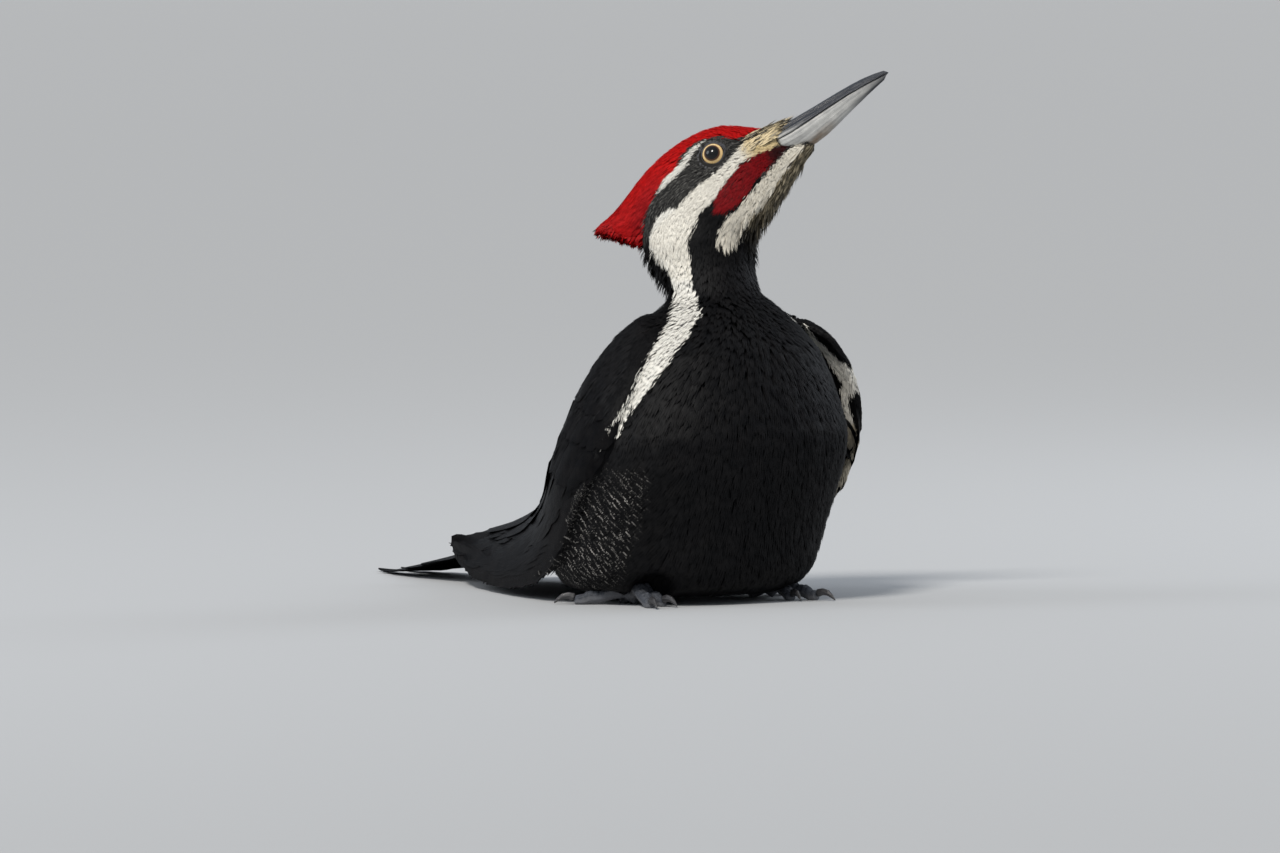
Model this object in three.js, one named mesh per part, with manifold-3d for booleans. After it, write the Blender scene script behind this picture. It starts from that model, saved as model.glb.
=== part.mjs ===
// A life-size pileated woodpecker sitting low, with its head turned to its left and its bill raised.
// Millimetres. The floor is z = 0, the breast faces -Y, the bird's left is +X.
import * as THREE from 'three';
import { mergeVertices } from 'three/addons/utils/BufferGeometryUtils.js';
import Module from 'manifold-3d';

// ---- driving sizes ----
const GAP = 0.3; // clear space between neighbouring pieces
const MODEL_CENTRE = new THREE.Vector3(2.74, 88.39, 0); // middle of the finished bird's plan, moved to x = y = 0

// The head's own frame: x to the bird's right, y forward along the head, z to the crown.
const HEAD_MIDDLE = new THREE.Vector3(4.7, -14.3, 197); // midway between the eyes
const HEAD_TURN = 49; // degrees to the bird's left
const HEAD_RAISE = 27.5; // degrees above level
const HEAD_TILT = 20; // degrees, the right eye higher than the left

const NECK_BASE = 137; // height of the cut between trunk and neck
const NECK_TOP = 157.5; // height of the cut between neck and head

const EYE_PLACE = new THREE.Vector3(12.4, 1.5, -1.1); // centre of the right eyeball in the head's frame
const EYE_RADIUS = 6.0;
const EYE_DEPTH = 0.86; // the eyeball is flatter than a ball, sideways
const BILL_ROOT = 25; // where the bill starts inside the head
const BILL_TIP = 87.4;

const TAIL_ROOT = new THREE.Vector3(0, 86, 31);
const TAIL_LENGTH = 160;
const TAIL_PAIRS = 5;
const TAIL_TIP_HEIGHT = 0.55; // middle of the feather at the tip, whose underside is flat on the floor

const FOOT_SPREAD = 38; // sideways distance of each foot from the middle
const FOOT_FORWARD = -10;
const TOE_RADIUS = 3.3;
const CLAW_LENGTH = 11;
const SHANK_TOP = 16; // the shank goes this high into the belly's feathers

// Trunk: height, distance back of the middle of the slice, half width, half depth.
const TRUNK_SLICES = [
  [2.6, 6, 26, 20],
  [3.4, 6, 43, 34],
  [6.5, 6, 54, 44],
  [12, 6, 60.5, 49],
  [20, 5.5, 64, 51.5],
  [29, 4, 65.5, 52.2],
  [38, 0.5, 66, 52.5],
  [50, -5, 66.5, 53],
  [62, -10.5, 66.5, 53],
  [75, -14.6, 65.8, 52.5],
  [87, -16.8, 61.5, 49.5],
  [99, -18.3, 56, 45.5],
  [110, -21, 50, 41],
  [119, -22.6, 42.5, 35],
  [126, -23, 35, 29.5],
  [132, -23, 28, 24.5],
  [137, -22, 21.5, 20.5],
  [139.5, -21, 12, 12],
];

// Rump and tail root: distance back, height of the middle, half width, half depth.
const RUMP_SLICES = [
  [-8, 50, 44, 30],
  [10, 45, 50, 33],
  [32, 39, 46, 28],
  [52, 35, 38, 21],
  [70, 32.5, 29, 14.5],
  [85, 31, 21, 9.5],
  [95, 30, 14.5, 6],
  [99, 29.6, 9, 3.5],
];

// Neck: sideways, back, height, half width, half depth.
const NECK_SLICES = [
  [0, -22, 120, 19, 18],
  [0, -22, 130, 20.5, 19.5],
  [-0.5, -20.5, 138, 20.8, 20],
  [-1.8, -15.8, 145.5, 22, 20.5],
  [-2.8, -13, 152, 23.8, 20.5],
  [-3.6, -12.2, 158, 25.4, 20],
  [-4, -13, 165, 26, 19],
  [-2.5, -14, 174, 23.5, 16.5],
  [0, -14, 183, 16, 11],
  [2, -14, 188, 8, 6],
];

// Head: distance forward, crown height, throat depth, half width.
const HEAD_SLICES = [
  [-45.5, -2, -9, 2.5],
  [-42, 3, -17, 6],
  [-36, 8, -24.5, 10],
  [-28, 12.2, -31, 13.8],
  [-19, 15, -35.5, 16.4],
  [-9, 16.4, -38, 17.6],
  [0, 16.4, -38, 17.2],
  [8, 14.8, -36, 16],
  [16, 11.4, -31.5, 13.6],
  [24, 6.8, -26.8, 10.4],
  [31, 3.6, -21.8, 7.4],
  [37, 1.4, -18.0, 5.8],
  [42, -3, -15.6, 4.8],
  [47, -7.5, -13.8, 3.4],
];

// Crest: distance forward, upper edge, lower edge, half thickness.
const CREST_SLICES = [
  [-12, 15.4, -4, 13.5],
  [-22, 14.4, -9, 12.5],
  [-31, 11.8, -15, 10.5],
  [-39, 8.2, -19, 8],
  [-46, 4.2, -18.5, 5.6],
  [-52, 1.6, -13.5, 3.6],
  [-57, 0.4, -8, 2.2],
  [-61, -0.4, -4.6, 1.3],
  [-63.6, -1.2, -2.6, 0.8],
];

// Border between the red cap and the rest of the head, in the head's side view.
const CAP_BORDER = [
  [44, -1.5],
  [33, 2.4],
  [24, 3.8],
  [8, 7.6],
  [-2, 8.8],
  [-9, 6.6],
  [-17, 2.3],
  [-32, -5],
  [-45, -15.5],
  [-52, -24],
];

// Bill: distance forward, culmen, line of the mouth, lower edge, half width.
const BILL_SLICES = [
  [BILL_ROOT, -0.6, -6.0, -10.4, 8.6],
  [31, 0.4, -6.4, -12.0, 8.5],
  [37, 1.3, -6.1, -13.2, 7.9],
  [41, 1.6, -5.5, -13.4, 7.3],
  [47, 2.0, -4.5, -12.9, 6.4],
  [53, 2.4, -3.5, -11.5, 5.6],
  [60, 3.0, -2.3, -9.2, 4.7],
  [67, 3.4, -1.3, -6.9, 3.8],
  [74, 3.6, -0.6, -4.7, 2.9],
  [80, 3.3, -0.2, -3.0, 2.1],
  [85, 2.6, 0.1, -1.7, 1.4],
  [BILL_TIP, 1.9, 0.3, -1.0, 1.0],
];

// Folded right wing, from the shoulder to the tip: edge along the back, lower edge, bulge, half thickness.
const WING_SLICES = [
  { back: [-25, -13, 131], low: [-36, -30, 125], bulge: 1, thick: 1.6 },
  { back: [-23, -2, 128], low: [-44, -34, 115], bulge: 7, thick: 3.0 },
  { back: [-22, 16, 112], low: [-56, -35, 98], bulge: 11.5, thick: 3.4 },
  { back: [-21, 28, 95], low: [-64, -31, 82], bulge: 14.5, thick: 3.4 },
  { back: [-19, 37, 79], low: [-68, -25, 67], bulge: 16, thick: 3.2 },
  { back: [-17, 47, 64], low: [-70, -12, 51], bulge: 15.5, thick: 3.0 },
  { back: [-15, 60, 51], low: [-69, 0, 31], bulge: 11.6, thick: 2.8 },
  { back: [-13, 79, 42], low: [-65, 19, 14], bulge: 8, thick: 2.7 },
  { back: [-11, 103, 34.5], low: [-58, 51, 6.5], bulge: 4.5, thick: 2.3 },
  { back: [-12, 128, 28], low: [-47, 89, 5.5], bulge: 3, thick: 1.9 },
  { back: [-15, 150, 23.5], low: [-35, 127, 8], bulge: 1.6, thick: 1.4 },
  { back: [-19, 166, 20.5], low: [-25, 160, 14.5], bulge: 0.6, thick: 0.9 },
];
// How far the lower edge of the left wing is held off the body, slice by slice (sideways, back).
const LEFT_WING_LIFT = [
  [5, -4],
  [10, -6],
  [9, -3],
  [9, -1],
  [8, 1],
  [2, -5],
  [-7, -3],
  [-5, 0],
  [0, 0],
  [0, 0],
  [0, 0],
  [0, 0],
];
const LEFT_WING_BULGE = [1, 7, 12, 14, 15, 16, 14, 9, 6, 4, 2, 0.6];

// ---- small tools ----
const wasm = await Module();
wasm.setup();

const vector = (list) => new THREE.Vector3(...list);

// A closed piece for joining and cutting, from a three.js geometry.
function solid(geometry) {
  geometry.deleteAttribute('normal');
  geometry.deleteAttribute('uv');
  const merged = mergeVertices(geometry, 1e-4);
  return new wasm.Manifold(
    new wasm.Mesh({
      numProp: 3,
      vertProperties: new Float32Array(merged.attributes.position.array),
      triVerts: new Uint32Array(merged.index.array),
    })
  );
}

function joined(solids) {
  return solids.reduce((all, one) => all.add(one));
}

// Rounds a unit direction towards a box: 2 is an ellipse, more is squarer, less is sharper.
function squared(value, power) {
  return Math.sign(value) * Math.abs(value) ** (2 / power);
}

// A smooth line through rows of three numbers.
function smooth(rows) {
  return new THREE.CatmullRomCurve3(rows.map(vector), false, 'centripetal');
}

// A closed body whose rings are placed by place(fraction along, cosine, sine).
function ringed(around, along, place) {
  const geometry = new THREE.SphereGeometry(1, around, along);
  const position = geometry.attributes.position;
  const perRow = around + 1;
  for (let index = 0; index < position.count; index += 1) {
    const row = Math.floor(index / perRow);
    const turn = ((index % perRow) % around) / around * Math.PI * 2;
    const open = row === 0 || row === along ? 0 : 1;
    const point = place(row / along, Math.cos(turn) * open, Math.sin(turn) * open);
    position.setXYZ(index, point.x, point.y, point.z);
  }
  return geometry;
}

// Turns the surface of a ringed body the right way out if needed.
function outward(geometry) {
  const position = geometry.attributes.position;
  const index = geometry.index;
  let volume = 0;
  for (let face = 0; face < index.count; face += 3) {
    const [a, b, c] = [0, 1, 2].map((k) =>
      new THREE.Vector3().fromBufferAttribute(position, index.getX(face + k))
    );
    volume += a.dot(b.cross(c));
  }
  if (volume < 0) {
    for (let face = 0; face < index.count; face += 3) {
      const first = index.getX(face);
      index.setX(face, index.getX(face + 1));
      index.setX(face + 1, first);
    }
  }
  return geometry;
}

// A body along a curved line: middles and [half width, half depth, squareness] at the same stations.
function bodyAlong(middles, halves, side, around, along, grow = 0, fixedDirection = null) {
  const path = smooth(middles);
  const sizes = smooth(halves);
  return outward(
    ringed(around, along, (t, c, s) => {
      const direction = fixedDirection ?? path.getTangent(t);
      const across = side.clone().addScaledVector(direction, -side.dot(direction)).normalize();
      const deep = new THREE.Vector3().crossVectors(direction, across).normalize();
      const size = sizes.getPoint(t);
      return path
        .getPoint(t)
        .addScaledVector(across, (size.x + grow) * squared(c, size.z))
        .addScaledVector(deep, (size.y + grow) * squared(s, size.z));
    })
  );
}

// A body of slices across the head's frame: [forward, top, bottom, half width].
function headBody(slices, power, around, along, grow = 0) {
  return bodyAlong(
    slices.map(([forward, top, bottom]) => [0, forward, (top + bottom) / 2]),
    slices.map(([, top, bottom, half]) => [half, (top - bottom) / 2, power]),
    new THREE.Vector3(1, 0, 0),
    around,
    along,
    grow,
    new THREE.Vector3(0, 1, 0)
  );
}

// Half of a bill: flat along the mouth line and arched away from it.
function mandible(slices, power, grow = 0) {
  const mouth = smooth(slices.map(([forward, , line]) => [0, forward, line]));
  const arch = smooth(slices.map(([, edge, line, half]) => [half, edge - line, power]));
  return outward(
    ringed(14, 12, (t, c, s) => {
      const size = arch.getPoint(t);
      const rise = s < 0 ? -grow : (Math.abs(size.y) + grow) * squared(s, size.z);
      const point = mouth.getPoint(t);
      point.x += (size.x + grow) * squared(c, 2);
      point.z += Math.sign(size.y) * rise;
      return point;
    })
  );
}

// A thin curved sheet between two edges, bulging away from the body.
function sheet(slices, outwardHint, around, along) {
  const back = smooth(slices.map((slice) => slice.back));
  const low = smooth(slices.map((slice) => slice.low));
  const shape = smooth(slices.map((slice) => [slice.bulge, slice.thick, 0]));
  const middle = (t) => back.getPoint(t).add(low.getPoint(t)).multiplyScalar(0.5);
  return outward(
    ringed(around, along, (t, c, s) => {
      const across = low.getPoint(t).sub(back.getPoint(t)).multiplyScalar(0.5);
      const step = middle(Math.min(1, t + 0.01)).sub(middle(Math.max(0, t - 0.01)));
      const out = new THREE.Vector3().crossVectors(step, across).normalize();
      out.multiplyScalar(Math.sign(out.dot(outwardHint)) || 1);
      const size = shape.getPoint(t);
      const swing = squared(c, 2.2);
      return middle(t)
        .addScaledVector(across, swing)
        .addScaledVector(out, size.x * (1 - swing * swing) + size.y * squared(s, 2.2));
    })
  );
}

// One flat feather: [place, half width] stations, and its half thickness.
function feather(stations, thickness, side, grow = 0) {
  return bodyAlong(
    stations.map(([place]) => place),
    stations.map(([, half]) => [half, thickness * Math.min(1, 0.7 + half / 8), 2.2]),
    side,
    6,
    stations.length,
    grow
  );
}

function box(width, depth, height, x, y, z) {
  const geometry = new THREE.BoxGeometry(width, depth, height);
  geometry.translate(x, y, z);
  return solid(geometry);
}

// A slab standing across the head's side view, above the given border.
function aboveBorder(border, lower) {
  const outline = new THREE.Shape();
  outline.moveTo(border[0][0], 60);
  for (const [forward, height] of border) {
    outline.lineTo(forward, height + lower);
  }
  outline.lineTo(-90, border.at(-1)[1] + lower);
  outline.lineTo(-90, 60);
  const geometry = new THREE.ExtrudeGeometry(outline, { depth: 80, bevelEnabled: false });
  geometry.translate(0, 0, -40);
  // The drawing's x becomes forward, its y becomes up, its thickness runs sideways.
  geometry.applyMatrix4(
    new THREE.Matrix4().makeBasis(
      new THREE.Vector3(0, 1, 0),
      new THREE.Vector3(0, 0, 1),
      new THREE.Vector3(1, 0, 0)
    )
  );
  return solid(geometry);
}

// ---- the head's place ----
const turn = THREE.MathUtils.degToRad(HEAD_TURN);
const raise = THREE.MathUtils.degToRad(HEAD_RAISE);
const tilt = THREE.MathUtils.degToRad(HEAD_TILT);
const levelRight = new THREE.Vector3(-Math.cos(turn), -Math.sin(turn), 0);
const headForward = new THREE.Vector3(
  Math.sin(turn) * Math.cos(raise),
  -Math.cos(turn) * Math.cos(raise),
  Math.sin(raise)
);
const levelUp = new THREE.Vector3().crossVectors(levelRight, headForward);
const headRight = levelRight
  .clone()
  .multiplyScalar(Math.cos(tilt))
  .addScaledVector(levelUp, Math.sin(tilt));
const headUp = levelUp
  .clone()
  .multiplyScalar(Math.cos(tilt))
  .addScaledVector(levelRight, -Math.sin(tilt));
const headPlace = new THREE.Matrix4()
  .makeBasis(headRight, headForward, headUp)
  .setPosition(HEAD_MIDDLE);

const onHead = (geometry) => solid(geometry.applyMatrix4(headPlace));

// ---- trunk, neck and head, made whole ----
const SIDE = new THREE.Vector3(1, 0, 0);
const NECK_SIDE = new THREE.Vector3(0.82, -0.57, 0); // the neck's broad way follows the turned head

function trunkBody(grow) {
  const barrel = bodyAlong(
    TRUNK_SLICES.map(([height, back]) => [0, back, height]),
    TRUNK_SLICES.map(([, , width, depth]) => [width, depth, 2.15]),
    SIDE,
    26,
    15,
    grow,
    new THREE.Vector3(0, 0, 1)
  );
  const rump = bodyAlong(
    RUMP_SLICES.map(([back, height]) => [0, back, height]),
    RUMP_SLICES.map(([, , width, depth]) => [width, depth, 2.1]),
    SIDE,
    16,
    8,
    grow
  );
  return solid(barrel).add(solid(rump));
}

const neckBody = solid(
  bodyAlong(
    NECK_SLICES.map(([x, y, z]) => [x, y, z]),
    NECK_SLICES.map(([, , , width, depth]) => [width, depth, 2]),
    NECK_SIDE,
    24,
    9,
    0,
    new THREE.Vector3(0, 0, 1)
  )
);
const skull = onHead(headBody(HEAD_SLICES, 2.1, 20, 13));
const crestBody = onHead(headBody(CREST_SLICES, 1.8, 14, 9));
const wholeBody = joined([trunkBody(0), neckBody, skull, crestBody]);
const trunkClear = trunkBody(GAP);

// ---- eyes and bill ----
function eyeball(sign, grow) {
  const geometry = new THREE.SphereGeometry(EYE_RADIUS + grow, 14, 8);
  geometry.rotateZ(Math.PI / 2);
  geometry.scale(EYE_DEPTH, 1, 1);
  geometry.translate(sign * EYE_PLACE.x, EYE_PLACE.y, EYE_PLACE.z);
  return onHead(geometry);
}

const upperSlices = BILL_SLICES.map(([forward, culmen, mouth, , half]) => [
  forward,
  culmen,
  mouth + GAP / 2,
  half,
]);
const lowerSlices = BILL_SLICES.map(([forward, , mouth, edge, half]) => [
  forward - (forward - BILL_ROOT) * 0.024,
  edge,
  mouth - GAP / 2,
  half * 0.97,
]);
const billClear = onHead(mandible(upperSlices, 1.75, GAP)).add(
  onHead(mandible(lowerSlices, 2.1, GAP))
);

// ---- parting the body with thin cuts ----
const WIDE = 600;
const aboveNeck = box(WIDE, WIDE, WIDE, 0, 0, NECK_TOP + GAP / 2 + WIDE / 2);
const belowNeckTop = box(WIDE, WIDE, WIDE, 0, 0, NECK_TOP - GAP / 2 - WIDE / 2);
const aboveNeckBase = box(WIDE, WIDE, WIDE, 0, 0, NECK_BASE + GAP / 2 + WIDE / 2);
const belowNeckBase = box(WIDE, WIDE, WIDE, 0, 0, NECK_BASE - GAP / 2 - WIDE / 2);
const capSpace = aboveBorder(CAP_BORDER, 0).transform(headPlace.toArray());
const capSpaceClear = aboveBorder(CAP_BORDER, -GAP).transform(headPlace.toArray());

const eyesClear = eyeball(1, GAP).add(eyeball(-1, GAP));
const headWhole = wholeBody.intersect(aboveNeck).subtract(billClear).subtract(eyesClear);
const crest = headWhole.intersect(capSpace);
const head = headWhole.subtract(capSpaceClear);
const neck = wholeBody.intersect(belowNeckTop).intersect(aboveNeckBase);

// ---- tail: five pairs of stiff pointed feathers, laid down to the floor at the tip ----
function tailFeathers(grow) {
  const feathers = [];
  for (let pair = 0; pair < TAIL_PAIRS; pair += 1) {
    const outerShare = pair / (TAIL_PAIRS - 1);
    const length = TAIL_LENGTH * (1 - 0.36 * outerShare ** 1.3);
    const lean = 0.028 + 0.085 * outerShare; // sideways spread of the feather
    const layer = 0.75 * (1 - outerShare);
    for (const sign of [-1, 1]) {
      const stations = [
        [0, 2.2],
        [0.15, 5.4],
        [0.45, 7.8],
        [0.72, 7.2],
        [0.9, 4.4],
        [0.97, 2.4],
        [1, 0.9],
      ].map(([t, half]) => {
        const reach = t * length;
        const rise = Math.max(0, 1 - (1.12 * reach) / TAIL_LENGTH); // the last stretch lies on the floor
        return [
          [
            sign * (1.8 + 7 * outerShare + lean * reach),
            TAIL_ROOT.y + reach * 0.985,
            TAIL_TIP_HEIGHT + (TAIL_ROOT.z - 2) * rise ** 1.25 + layer * rise,
          ],
          half,
        ];
      });
      feathers.push(solid(feather(stations, 0.95, SIDE, grow)));
    }
  }
  return joined(feathers);
}

// ---- wings ----
const wingTips = [0.86, 0.76, 0.66, 0.56]; // where the shorter flight feathers end along the wing

function wingBody(sign, lift, bulges) {
  const slices = WING_SLICES.map((slice, index) => ({
    back: [sign * -slice.back[0], slice.back[1], slice.back[2]],
    low: [
      sign * (-slice.low[0] + lift[index][0]),
      slice.low[1] + lift[index][1],
      slice.low[2],
    ],
    bulge: bulges[index],
    thick: slice.thick,
  }));
  const hint = new THREE.Vector3(sign * 0.8, 0.35, 0.3);
  let wing = solid(sheet(slices, hint, 14, 14));
  const low = smooth(slices.map((slice) => slice.low));
  for (const share of wingTips) {
    // A flight feather slides out past the lower edge and ends in a blunt point.
    const stations = [-0.2, -0.1, 0, 0.05, 0.09].map((step, place) => {
      const point = low.getPoint(share + step);
      point.x -= sign * 1.5;
      return [point.toArray(), [2, 4, 4.2, 3.2, 1.2][place]];
    });
    wing = wing.add(solid(feather(stations, 1.0, new THREE.Vector3(sign * 0.6, -0.3, -0.7))));
  }
  return wing;
}

const floorUp = box(WIDE, WIDE, WIDE, 0, 0, WIDE / 2);
const tailClear = tailFeathers(GAP + 0.1).add(box(24, 4, 3, 0, 210, -6));
const straight = WING_SLICES.map(() => [0, 0]);
const wingRight = wingBody(-1, straight, WING_SLICES.map((slice) => slice.bulge))
  .subtract(trunkClear)
  .subtract(tailClear)
  .intersect(floorUp);
const wingLeft = wingBody(1, LEFT_WING_LIFT, LEFT_WING_BULGE)
  .subtract(trunkClear)
  .subtract(tailClear)
  .intersect(floorUp);
const tail = tailFeathers(0).subtract(trunkClear).intersect(floorUp);

// ---- feet: two toes ahead, two behind, all flat on the floor ----
// Heading from straight ahead (outward positive), toe length, claw length share.
const TOES = [
  { name: 'inner_front', heading: -8, length: 20, claw: 0.9 },
  { name: 'outer_front', heading: 18, length: 26, claw: 1 },
  { name: 'outer_back', heading: 128, length: 27, claw: 0.95 },
  { name: 'inner_back', heading: -168, length: 13, claw: 0.75 },
];

function foot(sign, grow) {
  const ankle = new THREE.Vector3(sign * FOOT_SPREAD, FOOT_FORWARD, 0);
  const shank = bodyAlong(
    [
      [ankle.x - sign * 2.5, ankle.y + 9, 19],
      [ankle.x - sign * 1, ankle.y + 4, 12],
      [ankle.x, ankle.y + 0.5, 6],
      [ankle.x, ankle.y, 3.4],
      [ankle.x, ankle.y - 0.5, 0.4],
    ],
    [
      [3.2, 3.4, 2],
      [3.6, 3.8, 2],
      [4.4, 4.4, 2],
      [4.4, 4.4, 2],
      [4.0, 4.0, 2],
    ],
    SIDE,
    8,
    5,
    grow
  );
  const pieces = [solid(shank)];
  const claws = [];
  for (const toe of TOES) {
    const heading = THREE.MathUtils.degToRad(toe.heading);
    const ahead = new THREE.Vector3(sign * Math.sin(heading), -Math.cos(heading), 0);
    const arch = toe.heading > -90 && toe.heading < 90 ? 1 : 0.35;
    const place = (reach, height) =>
      ankle.clone().addScaledVector(ahead, reach).setZ(height).toArray();
    const beyond = new THREE.Vector3().crossVectors(ahead, new THREE.Vector3(0, 0, 1));
    const line = [
      [0, 4.6, 1.0],
      [0.2, 5.2 + 1.6 * arch, 1.0],
      [0.36, 4.6 + 2.4 * arch, 1.08],
      [0.54, 3.2 + 1.0 * arch, 0.86],
      [0.72, 3.0 + 0.8 * arch, 0.95],
      [0.86, 2.0, 0.8],
      [0.96, 2.1, 0.74],
      [1.0, 2.4, 0.5],
    ];
    pieces.push(
      solid(
        bodyAlong(
          line.map(([share, height]) => place(share * toe.length, height)),
          line.map(([, , size]) => [TOE_RADIUS * size, TOE_RADIUS * size, 2]),
          beyond,
          7,
          7,
          grow
        )
      )
    );
    const reach = CLAW_LENGTH * toe.claw;
    const start = toe.length - 1.4;
    const clawLine = [
      [0, 2.9, 0.6],
      [0.12, 3.3, 1.0],
      [0.35, 4.0, 0.92],
      [0.6, 3.6, 0.72],
      [0.82, 2.1, 0.46],
      [0.95, 0.8, 0.22],
      [1.0, 0.4, 0.12],
    ];
    const clawShape = (extra) =>
      solid(
        bodyAlong(
          clawLine.map(([share, height]) => place(start + share * reach, height)),
          clawLine.map(([, , size]) => [1.35 * size, 2.0 * size, 2]),
          beyond,
          6,
          6,
          extra
        )
      );
    claws.push({ name: toe.name, shape: clawShape(grow), clear: clawShape(GAP) });
  }
  const whole = joined(pieces);
  const flesh = claws
    .reduce((left, claw) => left.subtract(claw.clear), whole)
    .intersect(floorUp)
    .intersect(box(WIDE, WIDE, SHANK_TOP, 0, 0, SHANK_TOP / 2));
  const ends = claws.map((claw) => ({
    name: claw.name,
    shape: claw.shape.intersect(floorUp),
  }));
  const clear = claws.reduce((all, claw) => all.add(claw.shape), whole);
  return { flesh, ends, clear };
}

// The belly rests over the feet: each foot sits in a hollow, and the right one shows in a wider one.
function hollow(x, y, z, width, depth, height) {
  const geometry = new THREE.SphereGeometry(1, 12, 8);
  geometry.scale(width, depth, height);
  geometry.translate(x, y, z);
  return solid(geometry);
}
const footHollows = foot(1, GAP)
  .clear.add(foot(-1, GAP).clear)
  .add(hollow(-FOOT_SPREAD - 3, FOOT_FORWARD - 20, 3, 12, 15, 13))
  .add(hollow(FOOT_SPREAD + 3, FOOT_FORWARD - 22, 0, 10, 11, 8));
const trunk = wholeBody.intersect(belowNeckBase).subtract(footHollows);

// ---- the finished pieces ----
const bird = new THREE.Group();
bird.name = 'pileated_woodpecker';

// The largest body of a cut piece; crumbs left by the cuts are dropped.
function largest(shape) {
  const parts = shape.decompose();
  return parts.reduce((best, one) => (one.volume() > best.volume() ? one : best));
}

function add(name, shape, color, roughness) {
  const mesh = largest(shape).getMesh();
  const geometry = new THREE.BufferGeometry();
  geometry.setAttribute('position', new THREE.BufferAttribute(mesh.vertProperties, 3));
  geometry.setIndex(new THREE.BufferAttribute(mesh.triVerts, 1));
  geometry.translate(-MODEL_CENTRE.x, -MODEL_CENTRE.y, -MODEL_CENTRE.z);
  const material = new THREE.MeshStandardMaterial({ color, roughness, metalness: 0 });
  const piece = new THREE.Mesh(geometry, material);
  piece.name = name;
  bird.add(piece);
}

const BLACK = '#17181b';
const WHITE = '#e9e6de';
const SCARLET = '#c8201c';
const SLATE = '#565c66';

add('trunk', trunk, BLACK, 0.75);
add('neck', neck, BLACK, 0.8);
add('head', head, WHITE, 0.8);
add('crest', crest, SCARLET, 0.75);
add('bill_upper', onHead(mandible(upperSlices, 1.75)), '#4a4f57', 0.4);
add('bill_lower', onHead(mandible(lowerSlices, 2.1)), '#a9a9a2', 0.42);
add('eye_right', eyeball(1, 0), '#e8dfae', 0.08);
add('eye_left', eyeball(-1, 0), '#e8dfae', 0.08);
add('wing_right', wingRight, BLACK, 0.55);
add('wing_left', wingLeft, BLACK, 0.55);
add('tail', tail, BLACK, 0.55);
for (const [side, sign] of [['right', -1], ['left', 1]]) {
  const made = foot(sign, 0);
  add(`foot_${side}`, made.flesh, SLATE, 0.6);
  for (const end of made.ends) {
    add(`claw_${side}_${end.name}`, end.shape, '#2c2d30', 0.35);
  }
}

export default bird;
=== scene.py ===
# %% [markdown]
# # A pileated woodpecker, life size
# This lesson covers a solid model of the bird with everything that is seen: a skin, about eighteen
# thousand feather tufts, stiff vanes, a horn bill, wet eyes and scaly toes. The solid model comes from
# another tool and is only loaded here. Nothing in it is moved, so every new piece is built where the
# solid says it goes.

# %% Load the solid model
import math

import bmesh
import bpy
import numpy as np
from mathutils.bvhtree import BVHTree
from mathutils.kdtree import KDTree
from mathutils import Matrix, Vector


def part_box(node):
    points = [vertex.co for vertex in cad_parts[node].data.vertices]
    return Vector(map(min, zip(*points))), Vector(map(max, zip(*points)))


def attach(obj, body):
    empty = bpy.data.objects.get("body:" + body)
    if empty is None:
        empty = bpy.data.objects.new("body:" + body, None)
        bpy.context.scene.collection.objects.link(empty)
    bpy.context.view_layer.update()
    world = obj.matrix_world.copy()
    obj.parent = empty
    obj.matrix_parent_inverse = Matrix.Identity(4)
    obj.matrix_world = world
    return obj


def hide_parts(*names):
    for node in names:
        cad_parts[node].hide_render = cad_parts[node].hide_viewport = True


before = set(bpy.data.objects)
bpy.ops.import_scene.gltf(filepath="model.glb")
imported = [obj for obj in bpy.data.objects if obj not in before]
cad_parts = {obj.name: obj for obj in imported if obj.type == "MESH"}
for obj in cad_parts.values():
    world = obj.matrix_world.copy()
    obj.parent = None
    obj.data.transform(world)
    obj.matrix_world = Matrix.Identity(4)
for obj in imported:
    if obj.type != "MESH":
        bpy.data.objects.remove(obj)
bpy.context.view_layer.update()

MM = 0.001  # the lesson thinks in millimetres and Blender in metres
chance = np.random.default_rng(7)

# %% [markdown]
# ## The head's own directions
# The bird looks up over its left shoulder, so nothing on the head is square to the room. Bill, crest and
# face marks are easy to place once every point can be told as forward, up and right of the head. The two
# eyes give the sideways line, and the turn and the raise of the head give the others.

# %% Head directions from the eyes
HEAD_TURN, HEAD_RAISE = math.radians(49), math.radians(27.5)


def box_middle(node):
    low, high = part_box(node)
    return np.array([(a + b) / 2 for a, b in zip(low, high)]) / MM


def unit(vectors):
    return vectors / np.maximum(np.linalg.norm(vectors, axis=-1, keepdims=True), 1e-9)


def pointing(turn, rise):
    """A direction: turned from straight ahead towards the bird's left, and raised."""
    return np.array([math.sin(turn) * math.cos(rise), -math.cos(turn) * math.cos(rise), math.sin(rise)])


head_middle = (box_middle("eye_right") + box_middle("eye_left")) / 2
head_forward = pointing(HEAD_TURN, HEAD_RAISE)
eye_line = box_middle("eye_right") - box_middle("eye_left")
head_right = unit(eye_line - head_forward * (eye_line @ head_forward))
head_up = np.cross(head_right, head_forward)
EYE_FORWARD, EYE_UP = 1.5, -0.9  # the eyes lie a little ahead of the middle of the head, and below it
head_middle = head_middle - EYE_FORWARD * head_forward - EYE_UP * head_up
head_axes = np.stack([head_forward, head_up, head_right])


def on_head(points):
    """Points of the room told as forward, up and right of the middle of the head."""
    return (points - head_middle) @ head_axes.T


def from_eye(forward, up):
    """Distance from the middle of the eye in the head's side view."""
    return np.hypot(forward - EYE_FORWARD, up - EYE_UP)


print("head middle, mm:", head_middle.round(1), "forward:", head_forward.round(2))

# %% [markdown]
# ## Camera, floor and light
# A long lens from a little above the floor keeps the bird's shape flat and true. A black bird shows its
# form only by what it reflects, so the lamps are large. A warm window stands in front at the left. A
# cooler lamp at the right lights the edge of the wing, and one behind at the left gives the back its
# sheen. The pale sky all round fills the shadows.

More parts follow.
